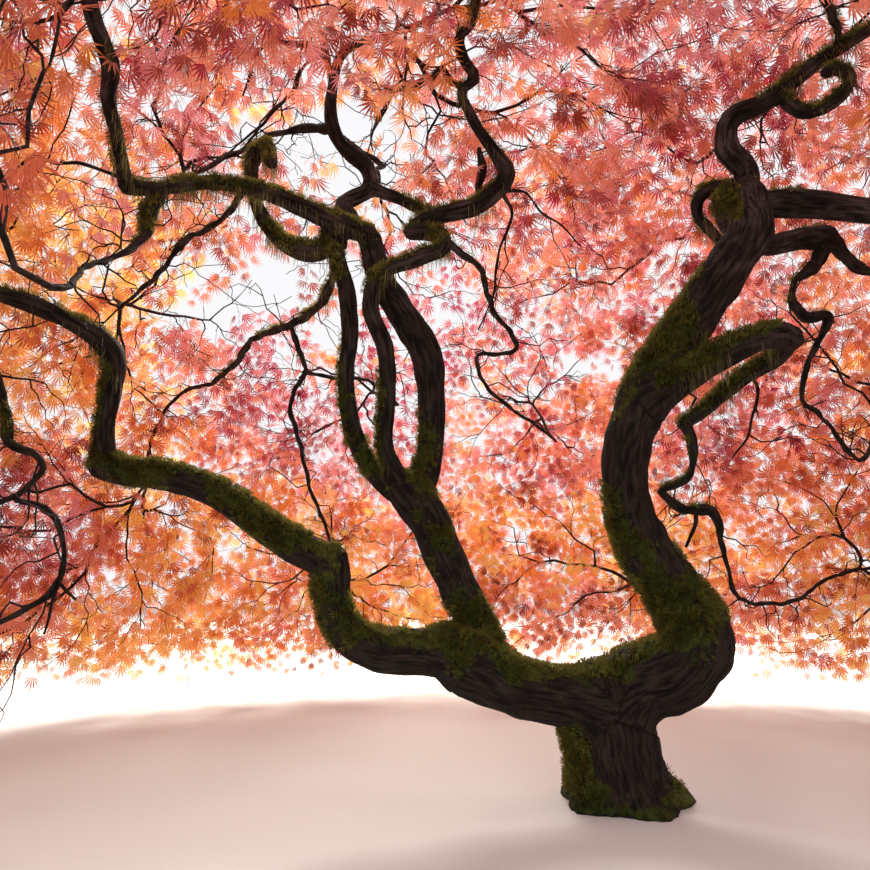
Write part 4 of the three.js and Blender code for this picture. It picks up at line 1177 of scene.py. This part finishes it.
def grow_sprays(twigs, box, rng):
    """Drooping stalks, and the leaves on them: root, way, face, size and the number of their spray"""
    roots, ways, fans = spray_roots(twigs)
    outward = unit(roots - HEART)
    hang = hanging_ways(outward, fans + rng.normal(0, FAN_SCATTER, len(fans)))
    length = SPRAY_LENGTH * rng.uniform(*SPRAY_SIZES, len(roots))[:, None]
    bend = roots + SPRAY_BEND * length * unit(ways + SPRAY_BEND_HANG * hang)
    ends = bend + SPRAY_END * length * unit(hang + (0, 0, -SPRAY_END_SAG))
    low, high = np.array(box)
    inside = ((ends > low - PAST_THE_SOLIDS) & (ends < high + PAST_THE_SOLIDS)).all(1)
    keep = inside & (dome_share(ends) < 1) & (ends[:, 2] > LOWEST_LEAF + LEAF_LENGTH)
    keep &= kept_by_sky(ends, rng) & clear_of_wood(bend) & clear_of_wood(ends)
    keep &= leaves_wood_in_sight(bend) & leaves_wood_in_sight(ends)
    roots, outward, bend, ends = (rows[keep] for rows in (roots, outward, bend, ends))
    steps = np.linspace(0, 1, SPRAY_STEPS + 1)
    stalks = np.stack([bent_line(roots, bend, ends, t) for t in steps], 1)
    leaves = []
    number = np.arange(len(roots))
    for pair in range(LEAF_PAIRS + 1):
        t = between(FIRST_PAIR, 1, pair / LEAF_PAIRS)
        places = bent_line(roots, bend, ends, t)
        way = unit(2 * (1 - t) * (bend - roots) + 2 * t * (ends - bend))
        across = unit(np.cross(way, outward))
        sides = (0,) if pair == LEAF_PAIRS else (-1, 1)
        for side in sides:
            points_to = way * (PETIOLE_LEAD if side else 1) + PETIOLE_SPREAD * side * across
            points_to = unit(points_to) + rng.normal(0, BLADE_SCATTER, way.shape)
            points_to += (0, 0, -BLADE_HANG)
            face = outward + rng.normal(0, FACE_SCATTER, way.shape)
            size = rng.uniform(*LEAF_SIZES, len(way)) * (1 - LESS_AT_THE_END * t)
            leaves.append((places, unit(points_to), unit(face), size, number))
    return stalks, [np.concatenate(rows) for rows in zip(*leaves)]


def tint_numbers(roots, rng):
    """A tint for each spray: patches of like colours, rosier with height and more golden round some places"""
    score = field(roots, TINT_PATCH, "tints") + rng.normal(0, TINT_SCATTER, len(roots))
    score += TINT_RISE * (roots - HEART)[:, 2]
    for place, reach, change in TINT_PLACES:
        score -= change * np.clip(1 - np.linalg.norm(roots - place, axis=1) / reach, 0, 1)
    rank = np.empty(len(roots))
    rank[np.argsort(score)] = (np.arange(len(roots)) + 0.5) / len(roots)
    return np.searchsorted(np.cumsum(TINT_SHARES), rank * sum(TINT_SHARES))


def leaf_shape(name, lobes_deg, teeth):
    """A leaf along +Y, one unit long, in its own outline: a thin petiole, and narrow lobes spread like
    fingers, each folded along its rib. Teeth widen a lobe at places along it."""
    points, faces = [(-PETIOLE_WIDTH, 0, 0), (PETIOLE_WIDTH, 0, 0), (0, PETIOLE_SHARE, 0)], [(0, 1, 2)]
    for angle in np.radians(lobes_deg):
        length = (1 - PETIOLE_SHARE) * between(LOBE_SHORTEST, 1, math.cos(angle) ** LOBE_ROUNDING)
        along = np.array([math.sin(angle), math.cos(angle), 0])
        aside = np.array([math.cos(angle), -math.sin(angle), 0])
        root = np.array([0, PETIOLE_SHARE, 0])
        start = len(points)
        tip = root + length * along - (0, 0, LOBE_DROOP * length)
        points += [root, tip]
        for side in (1, -1):
            edge = []
            for place, width in teeth:
                fold = -LOBE_FOLD * width - LOBE_DROOP * length * place**2
                points.append(root + length * (place * along + side * width * aside) + (0, 0, fold))
                edge.append(len(points) - 1)
            outline = [start, *edge, start + 1]
            faces.append(outline if side < 0 else outline[::-1])
    return put(name, mesh_of(name, points, faces))


def moss_tuft():
    """A tuft of moss, one unit high: curved blades that lean out from their foot"""
    points, faces = [], []
    for number, angle in enumerate(np.radians(TUFT_BLADES_DEG)):
        out = np.array([math.cos(angle), math.sin(angle), 0])
        aside = TUFT_WIDTH * np.array([-math.sin(angle), math.cos(angle), 0])
        start = len(points)
        lean = TUFT_LEANS[number % len(TUFT_LEANS)]
        knee = 0.5 * lean * out + (0, 0, TUFT_KNEE)
        tip = lean * out + (0, 0, TUFT_TIP - 0.5 * lean)
        points += [TUFT_FOOT * out - aside, TUFT_FOOT * out + aside, knee + aside, tip]
        faces += [(start, start + 1, start + 2), (start, start + 2, start + 3)]
    return put("tuft", mesh_of("tuft", points, faces))


def moss_strand():
    """A strand of moss that hangs down from its root, one unit long"""
    points, faces = [], []
    for number, (aside, up) in enumerate(STRAND_BENDS):
        half = STRAND_WIDTH * (STRAND_ROOT_WIDTH - number / len(STRAND_BENDS))
        points += [(aside, -half, up), (aside, half, up)]
        if number:
            low = 2 * number
            faces.append((low - 2, low - 1, low + 1, low))
    return put("strand", mesh_of("strand", points, faces))


def new_growth_tree(name, **inputs):
    """A Geometry Nodes tree with a geometry in and out and named inputs of given kinds and values"""
    tree = bpy.data.node_groups.new(name, "GeometryNodeTree")
    tree.interface.new_socket("Geometry", in_out="OUTPUT", socket_type="NodeSocketGeometry")
    tree.interface.new_socket("Geometry", in_out="INPUT", socket_type="NodeSocketGeometry")
    for label, kind in inputs.items():
        tree.interface.new_socket(label.replace("_", " "), in_out="INPUT", socket_type=kind)
    nodes = Nodes(tree)
    given = nodes.add("NodeGroupInput")
    return tree, nodes, lambda label: Value(nodes, given.outputs[label])


def finish_tree(nodes, geometry, finish):
    real = nodes.value("GeometryNodeRealizeInstances", inputs={"Geometry": geometry})
    dressed = nodes.value("GeometryNodeSetMaterial", inputs={"Geometry": real, "Material": finish})
    nodes.add("NodeGroupOutput", inputs={"Geometry": dressed})


def attribute(nodes, name, kind="FLOAT"):
    return nodes.value("GeometryNodeInputNamedAttribute", {"data_type": kind}, {"Name": name})


def shape_of(nodes, piece):
    return nodes.value("GeometryNodeObjectInfo", inputs={"Object": piece}, output="Geometry")


def scattered_on(nodes, given, share):
    """Places strewn over a surface, as many as a share of the number on a square metre asks for"""
    return nodes.add(
        "GeometryNodeDistributePointsOnFaces", {"distribute_method": "RANDOM"},
        {"Mesh": given("Geometry"), "Density": share * given("Number on a metre"), "Seed": given("Seed")})


def any_size(nodes, given, least, most):
    return nodes.value(
        "FunctionNodeRandomValue", {"data_type": "FLOAT"}, {2: least, 3: most, "Seed": given("Seed")},
        output=1) * given("Length")


def leaf_tree(count):
    """Puts one of some leaf shapes on each place, turned to its way and face"""
    shapes = [f"Leaf {number + 1}" for number in range(count)]
    kinds = {label: "NodeSocketObject" for label in shapes}
    tree, nodes, given = new_growth_tree(
        "leaves on their stalks", **kinds, Leaf_length="NodeSocketFloat", Finish="NodeSocketMaterial")
    turn = nodes.value(
        "FunctionNodeAxesToRotation", {"primary_axis": "Y", "secondary_axis": "Z"},
        {"Primary Axis": attribute(nodes, "way", "FLOAT_VECTOR"),
         "Secondary Axis": attribute(nodes, "face", "FLOAT_VECTOR")})
    size = attribute(nodes, "size") * given("Leaf length")
    shape = attribute(nodes, "shape")
    join = nodes.add("GeometryNodeJoinGeometry")
    for number, label in enumerate(shapes):
        placed = nodes.value("GeometryNodeInstanceOnPoints", inputs={
            "Points": given("Geometry"), "Selection": shape.math("COMPARE", number, 0.5),
            "Instance": shape_of(nodes, given(label)), "Rotation": turn, "Scale": size})
        nodes.tree.links.new(placed.socket, join.inputs["Geometry"])
    finish_tree(nodes, Value(nodes, join.outputs[0]), given("Finish"))
    return tree


def twig_tree():
    """Skins each line of places over at its thickness"""
    tree, nodes, given = new_growth_tree(
        "twigs along their lines", Sides="NodeSocketInt", Finish="NodeSocketMaterial")
    lines = nodes.value("GeometryNodeMeshToCurve", inputs={"Mesh": given("Geometry")})
    radius = attribute(nodes, "thickness") * 0.5
    section = nodes.value(
        "GeometryNodeCurvePrimitiveCircle", {"mode": "RADIUS"}, {"Resolution": given("Sides"), "Radius": 1.0})
    skinned = nodes.value("GeometryNodeCurveToMesh", inputs={
        "Curve": lines, "Profile Curve": section, "Scale": radius, "Fill Caps": True})
    finish_tree(nodes, skinned, given("Finish"))
    return tree


def moss_tree(name, attribute_name, hangs):
    """Strews tufts over mossy bark, square to it, or strands that hang straight down from it"""
    tree, nodes, given = new_growth_tree(
        name, Shape="NodeSocketObject", Number_on_a_metre="NodeSocketFloat", Length="NodeSocketFloat",
        Seed="NodeSocketInt", Finish="NodeSocketMaterial")
    strewn = scattered_on(nodes, given, attribute(nodes, attribute_name).step(*MOSS_THINS_OUT))
    turn = Value(nodes, strewn.outputs["Rotation"])
    if hangs:
        turns = nodes.value(
            "FunctionNodeRandomValue", {"data_type": "FLOAT_VECTOR"},
            {0: (0, 0, 0), 1: (0, 0, 2 * math.pi), "Seed": given("Seed")})
        turn = nodes.value("FunctionNodeEulerToRotation", inputs={"Euler": turns})
    placed = nodes.value("GeometryNodeInstanceOnPoints", inputs={
        "Points": Value(nodes, strewn.outputs["Points"]), "Instance": shape_of(nodes, given("Shape")),
        "Rotation": turn, "Scale": any_size(nodes, given, *(STRAND_SIZES if hangs else TUFT_SIZES))})
    finish_tree(nodes, placed, given("Finish"))
    return tree


def grown_by(piece, tree, **inputs):
    """Runs a tree on a piece and keeps the plain mesh"""
    modifier = piece.modifiers.new(tree.name, "NODES")
    modifier.node_group = tree
    sockets = {item.name: item.identifier for item in tree.interface.items_tree if item.in_out == "INPUT"}
    for label, value in inputs.items():
        modifier[sockets[label.replace("_", " ")]] = value
    return applied(piece)


def new_finish(name):
    material = bpy.data.materials.new(name)
    material.use_nodes = True
    material.node_tree.nodes.clear()
    return material, Nodes(material.node_tree)


def place_on_piece(nodes):
    return nodes.value("ShaderNodeTexCoord", output="Object")


def height_at(nodes, place):
    return nodes.value("ShaderNodeSeparateXYZ", inputs={"Vector": place}, output="Z")


def coloured(colour):
    return colour if isinstance(colour, Value) else (*colour, 1)


def mixed(nodes, share, first, second):
    """One colour into another by a share"""
    inputs = {"Factor": share, 6: coloured(first), 7: coloured(second)}
    return nodes.value("ShaderNodeMix", {"data_type": "RGBA"}, inputs, output=2)


def noise_at(nodes, place, pattern):
    """A pattern of noise, given by its waves in a metre, its layers and its roughness"""
    inputs = {"Vector": place, **dict(zip(("Scale", "Detail", "Roughness"), pattern))}
    return nodes.value("ShaderNodeTexNoise", inputs=inputs)


def coat(nodes, colour, roughness, shine=DULL, **more):
    """A plain surface in a colour"""
    inputs = {"Base Color": coloured(colour), "Roughness": roughness, "Specular IOR Level": shine, **more}
    return nodes.value("ShaderNodeBsdfPrincipled", inputs=inputs)


def lit_through(nodes, surface, colour, share):
    """A surface of thin blades that a share of the light passes through"""
    through = nodes.value("ShaderNodeBsdfTranslucent", inputs={"Color": coloured(colour)})
    return nodes.value("ShaderNodeMixShader", inputs={0: share, 1: surface, 2: through})


def bumpy(nodes, height, depth, strength=1.0):
    inputs = {"Strength": strength, "Distance": depth, "Height": height}
    return nodes.value("ShaderNodeBump", inputs=inputs)


def shown(nodes, shader):
    nodes.add("ShaderNodeOutputMaterial", inputs={"Surface": shader})


def bark_finish():
    """Dark furrowed bark, greyer on high boughs, under patches of green moss. Painted shade darkens the
    furrows and painted light brightens the ridges; the moss has painted shade where its cushions dip and
    painted highlights on its tips, brighter on high boughs.
    """
    material, nodes = new_finish("mossy bark")
    place = place_on_piece(nodes)
    height = height_at(nodes, place)
    grain = nodes.value("ShaderNodeAttribute", {"attribute_name": "grain"}, output="Vector")
    moss = nodes.value("ShaderNodeAttribute", {"attribute_name": "moss"}, output="Fac")
    drawn_out = nodes.value(
        "ShaderNodeVectorMath", {"operation": "MULTIPLY"}, {0: grain, 1: FURROWS_ON_A_METRE})
    furrows = noise_at(nodes, drawn_out, FURROW_PATTERN)
    blotches = noise_at(nodes, place, BLOTCH_PATTERN)
    grit = noise_at(nodes, place, GRIT_PATTERN)
    fibres = noise_at(nodes, place, FIBRE_PATTERN)
    cushions = noise_at(nodes, place, CUSHION_PATTERN)
    ridge = furrows.step(*FURROW_TO_RIDGE)
    # Furrows darker and ridges lighter: partly the bark's own colour, partly painted shade and painted light
    dark = mixed(nodes, ridge, *LOW_BARK)
    pale = mixed(nodes, ridge, *HIGH_BARK)
    wood = mixed(nodes, height.step(*GREY_HEIGHTS) * blotches.step(*BLOTCHES), dark, pale)
    # Moss darker where its cushions dip in the bump: partly its own darker depths, partly painted shade
    deep = mixed(nodes, cushions.step(*CUSHION_DEPTHS_AND_PAINTED_SHADE), *BARK_MOSS_DEPTHS_AND_PAINTED_SHADE)
    # Painted highlight: the moss tips' lighter green, partly their own and partly painted light, lighter
    # still on high boughs
    light = mixed(nodes, height.step(*PAINTED_LIGHT_HEIGHTS), *BARK_MOSS_TIPS_AND_PAINTED_HIGHLIGHT)
    green = mixed(nodes, (fibres * blotches).step(*FIBRE_SHADES), deep, light)
    cover = (moss + MOSS_EDGE_SWAY * (cushions - 0.5)).step(*MOSS_EDGE)
    bare_bump = FURROW_BUMP * furrows + GRIT_BUMP * grit
    bump = bare_bump * (1 - cover) + (cushions + FIBRE_BUMP * fibres) * cover
    colour = mixed(nodes, cover, wood, green)
    normal = bumpy(nodes, bump, BARK_DEPTH)
    shown(nodes, coat(nodes, colour, between(*BARK_ROUGHNESS, ridge), Normal=normal))
    return material


def twig_finish():
    """Fine-grained purple-brown bark of young wood"""
    material, nodes = new_finish("young bark")
    streaks = noise_at(nodes, place_on_piece(nodes), STREAK_PATTERN)
    colour = mixed(nodes, streaks.step(*STREAKS), *YOUNG_BARK)
    normal = bumpy(nodes, streaks, YOUNG_BARK_DEPTH, YOUNG_BARK_BUMP)
    shown(nodes, coat(nodes, colour, YOUNG_BARK_ROUGHNESS, Normal=normal))
    return material


def leaf_finish(tint, colour):
    """A leaf's tint, with light passing through the thin blade"""
    material, nodes = new_finish(f"{tint} leaf")
    blade = coat(nodes, colour, LEAF_ROUGHNESS, LEAF_SHINE)
    shown(nodes, lit_through(nodes, blade, colour, LEAF_GLOW))
    return material


def moss_finish(name, deep, light, painted_highlight):
    """Moss blades, from a deep to a light green, brighter on high boughs by painted light, with light passing
    through them
    """
    material, nodes = new_finish(name)
    place = place_on_piece(nodes)
    # Painted light: moss blades and strands turn to a brighter green on high boughs
    green_with_painted_light = mixed(nodes, height_at(nodes, place).step(*PAINTED_LIGHT_HEIGHTS), light, painted_highlight)
    colour = mixed(nodes, noise_at(nodes, place, MOSS_PATTERN).step(*MOSS_SHADES), deep, green_with_painted_light)
    shown(nodes, lit_through(nodes, coat(nodes, colour, MOSS_ROUGHNESS), painted_highlight, MOSS_GLOW))
    return material


def floor_finish():
    material, nodes = new_finish("pale floor")
    shown(nodes, coat(nodes, FLOOR_COLOUR, FLOOR_ROUGHNESS, FLOOR_SHINE))
    return material


def rooted(piece, replaced=()):
    """Fixes a piece to the tree, in the place of some solids or added to them"""
    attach(piece, "root")
    if replaced:
        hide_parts(*replaced)


def line_mesh(name, lines):
    """A mesh of edges along rows of places, with their thickness"""
    rows = np.vstack(lines)
    starts = np.cumsum([0, *(len(line) for line in lines)])
    edges = [(i, i + 1) for low, high in zip(starts, starts[1:]) for i in range(low, high - 1)]
    mesh = mesh_of(name, rows[:, :3], edges=edges)
    write_attribute(mesh, "thickness", rows[:, 3])
    return mesh


def waves_along(walked, on_a_metre, seed, kind, read=noise.noise):
    """Noise along a line, with a seed for each line"""
    return np.array([read((on_a_metre * way, seed, NOISE_PLACES[kind])) for way in walked])


def knobbly(rows, seed):
    """A thin bough's rows with swellings along it and small kinks, which die out towards its ends"""
    walked = walked_along(rows[:, :3])
    knobs = waves_along(walked, KNOBS_ON_A_METRE, seed, "knobs")
    knobs += SMALL_KNOB_SHARE * waves_along(walked, SMALL_KNOBS_ON_A_METRE, seed, "small knobs")
    kinks = waves_along(walked, KINKS_ON_A_METRE, seed, "kinks", noise.noise_vector)
    middle = np.clip(np.minimum(walked, walked[-1] - walked) / STRAIGHT_ENDS, 0, 1)
    rows = rows.copy()
    rows[:, :3] += KINK_SHARE * (middle * np.minimum(rows[:, 3], KINKED_THICKNESS))[:, None] * kinks
    rows[:, 3] *= 1 + KNOB_SHARE * knobs
    return rows


def side_twig(root, way, reach, thickness, rng):
    """Rows of a bare twig that zigzags away from its root"""
    steps = [root]
    for _ in range(TWIG_KINKS):
        way = unit(way + TWIG_KINK * rng.normal(size=3) + (0, 0, -TWIG_DROOP))
        steps.append(steps[-1] + reach / TWIG_KINKS * way)
    return np.column_stack([steps, np.linspace(thickness, TWIG_END, len(steps))])


def side_twigs(lines, rng):
    """Bare twigs that stand off thin boughs all along them, and a fork on each"""
    twigs = []
    for rows in lines:
        walked = walked_along(rows[:, :3])
        ways = tangents(rows[:, :3])
        for place in np.arange(FIRST_TWIG, walked[-1], TWIG_SPACING):
            index = int(np.searchsorted(walked, place + rng.uniform(0, TWIG_STRAY) * TWIG_SPACING))
            if index >= len(rows) - 1:
                continue
            off = unit(np.cross(ways[index], rng.normal(size=3)))
            reach = rng.uniform(*TWIG_REACH)
            thickness = min(TWIG_START, TWIG_START_SHARE * rows[index, 3])
            twig = side_twig(rows[index, :3], unit(off + TWIG_LEAN * ways[index]), reach, thickness, rng)
            kink = FORKED_KINKS[rng.integers(len(FORKED_KINKS))]
            way = unit(twig[kink + 1, :3] - twig[kink, :3]) + FORK_SCATTER * rng.normal(size=3)
            twigs += [twig, side_twig(twig[kink, :3], unit(way), FORK_SHARE * reach, twig[kink, 3], rng)]
    return [twig for twig in twigs if twig[:, 2].min() > LOWEST_LEAF]


def skin_lines(name, lines, tree, sides, finish):
    piece = put(name, line_mesh(name, lines))
    grown_by(piece, tree, Sides=sides, Finish=finish)
    smooth_shaded(piece.data)
    return piece


def add_moss(wood, number, finishes):
    """Tufts and hanging strands over a piece of wood, which is left as it is"""
    tufts = ("moss", moss_tuft(), moss_tree("moss on bark", "tufts", False), TUFTS_ON_A_METRE, TUFT_LENGTH)
    strands = (
        "strands", moss_strand(), moss_tree("moss that hangs", "fringe", True), STRANDS_ON_A_METRE,
        STRAND_LENGTH)
    for (kind, shape, tree, many, length), finish in zip((tufts, strands), finishes):
        cover = put(f"{kind}_on_{wood.name}", wood.data.copy())
        inputs = {"Number_on_a_metre": many, "Length": length, "Seed": SEED + number, "Finish": finish}
        grown_by(cover, tree, Shape=shape, **inputs)
        bpy.data.objects.remove(shape)
        rooted(cover)


def batches(lines, sides):
    """Lines in groups whose skins stay within the largest piece"""
    groups, faces = [[]], 0
    for line in lines:
        more = 2 * sides * len(line)
        if faces + more > LARGEST_PIECE:
            groups.append([])
            faces = 0
        groups[-1].append(line)
        faces += more
    return groups


def build_wood(rng):
    bark, young, skinner = bark_finish(), twig_finish(), twig_tree()
    moss = (moss_finish("moss blades", *MOSS_BLADES), moss_finish("moss strands", *MOSS_STRANDS))
    for number, (name, limbs) in enumerate(OLD_WOOD.items()):
        wood = old_wood(name, limbs)
        add_moss(wood, number, moss)
        wood.data.materials.append(bark)
        rooted(wood, limbs)
    old = {limb for limbs in OLD_WOOD.values() for limb in limbs}
    thin = [limb for limb in LIMBS if limb not in old]
    plain = [limb_rows(limb, THIN_BOUGH_STEP) for limb in thin]
    plain += [smooth_line(bends, THIN_BOUGH_STEP) for bends in SIDE_BOUGHS.values()]
    lines = [knobbly(rows, seed) for seed, rows in enumerate(plain)]
    boughs = skin_lines("thin_boughs", lines, skinner, THIN_BOUGH_SIDES, bark)
    weathered(boughs, lines)
    add_moss(boughs, len(OLD_WOOD), moss)
    rooted(boughs, thin)
    bare = side_twigs(lines, rng)
    rooted(skin_lines("side_twigs", bare, skinner, TWIG_SIDES, young))
    return skinner, young


def leaf_pieces(chosen, costs):
    """The chosen leaves in parts, each within the largest piece"""
    part = np.cumsum(costs[chosen]) // LARGEST_PIECE
    return [chosen[part == number] for number in np.unique(part)]


def leaf_shapes():
    """The shapes of far leaves and of near ones, which have more teeth"""
    far = [leaf_shape(f"leaf {n}", lobes, FAR_TEETH) for n, lobes in enumerate(FAR_LOBES_DEG)]
    near = [leaf_shape(f"fine leaf {n}", lobes, NEAR_TEETH) for n, lobes in enumerate(NEAR_LOBES_DEG)]
    return far, near


def build_leaves(roots, ways, faces, sizes, tints, masses, rng):
    """Each leaf in its tint and in the shape that suits its distance from the eye"""
    far, near = leaf_shapes()
    leaves = far + near
    is_near = np.linalg.norm(roots - EYE, axis=1) < NEAR_THE_OPENING
    near_numbers = rng.integers(len(far), len(leaves), len(roots))
    shapes = np.where(is_near, near_numbers, rng.integers(0, len(far), len(roots)))
    costs = np.array([len(leaf.data.vertices) for leaf in leaves])[shapes]
    hanger = leaf_tree(len(leaves))
    inputs = {f"Leaf {number + 1}": leaf for number, leaf in enumerate(leaves)}
    for tint, (tint_name, colour) in enumerate(TINTS.items()):
        finish = leaf_finish(tint_name, colour)
        for part, index in enumerate(leaf_pieces(np.flatnonzero(tints == tint), costs)):
            name = f"{tint_name}_leaves_{part + 1}"
            mesh = mesh_of(name, roots[index])
            for label, rows in (("way", ways), ("face", faces), ("size", sizes), ("shape", shapes)):
                write_attribute(mesh, label, rows[index])
            piece = put(name, mesh)
            grown_by(piece, hanger, **inputs, Leaf_length=LEAF_LENGTH, Finish=finish)
            rooted(piece, masses)
    for leaf in leaves:
        bpy.data.objects.remove(leaf)


def build_crown(skinner, young, box, rng):
    twigs = []
    for number, (name, (bough, bearings, rises)) in enumerate(MASSES.items()):
        shell = (DEEPER_SHELLS.get(name, SHELL[0]), SHELL[1])
        twigs += grow(bough, bearings, rises, shell, SEED + number)
    masses = [f"leaves_{name}" for name in MASSES]
    stalks, (roots, ways, faces, sizes, numbers) = grow_sprays(twigs, box, rng)
    thickness = STALK_THICKNESS * np.linspace(1, STALK_END_SHARE, SPRAY_STEPS + 1)
    stalk_lines = [np.column_stack([stalk, thickness]) for stalk in stalks]
    for index, group in enumerate(batches(twigs, TWIG_SIDES)):
        rooted(skin_lines(f"twigs_{index + 1}", group, skinner, TWIG_SIDES, young), masses)
    for index, group in enumerate(batches(stalk_lines, STALK_SIDES)):
        rooted(skin_lines(f"leaf_stalks_{index + 1}", group, skinner, STALK_SIDES, young))
    tints = tint_numbers(stalks[:, 0], rng)[numbers]
    build_leaves(roots, ways, faces, sizes, tints, masses, rng)


def build_stage():
    bpy.ops.mesh.primitive_plane_add(size=FLOOR_SIZE)
    floor = bpy.context.object
    floor.name = "floor"
    floor.data.materials.append(floor_finish())
    world = bpy.data.worlds.new("soft studio")
    world.use_nodes = True
    sky = world.node_tree.nodes["Background"].inputs
    sky["Color"].default_value = (*SKY_COLOUR, 1)
    sky["Strength"].default_value = SKY_STRENGTH
    bpy.context.scene.world = world
    for name, place, target, size, power in STUDIO_LIGHTS:
        light = bpy.data.lights.new(name, "AREA")
        light.shape = "DISK"
        light.size = size
        light.energy = power
        light.color = LIGHT_TINT
        lamp = put(name, light)
        lamp.location = place
        lamp.rotation_euler = (Vector(target) - Vector(place)).to_track_quat("-Z", "Y").to_euler()


def build_camera():
    camera = bpy.data.cameras.new("camera")
    camera.lens = LENS_MM
    eye = put("camera", camera)
    eye.location = EYE
    eye.rotation_euler = (math.radians(90 + EYE_PITCH_DEG), 0, 0)
    bpy.context.scene.camera = eye
    bpy.context.scene.view_settings.view_transform = "Standard"


def box_of(bounds):
    return [list(corner) for corner in bounds]


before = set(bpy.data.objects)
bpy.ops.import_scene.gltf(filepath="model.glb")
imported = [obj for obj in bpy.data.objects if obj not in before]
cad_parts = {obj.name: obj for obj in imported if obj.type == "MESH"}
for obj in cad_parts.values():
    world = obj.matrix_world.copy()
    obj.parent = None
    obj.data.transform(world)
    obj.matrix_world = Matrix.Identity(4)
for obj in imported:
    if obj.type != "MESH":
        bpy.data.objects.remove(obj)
cad_box = box_of(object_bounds())
build_camera()
build_stage()
noise.seed_set(SEED)
chance = np.random.default_rng(SEED)
build_crown(*build_wood(chance), cad_box, chance)
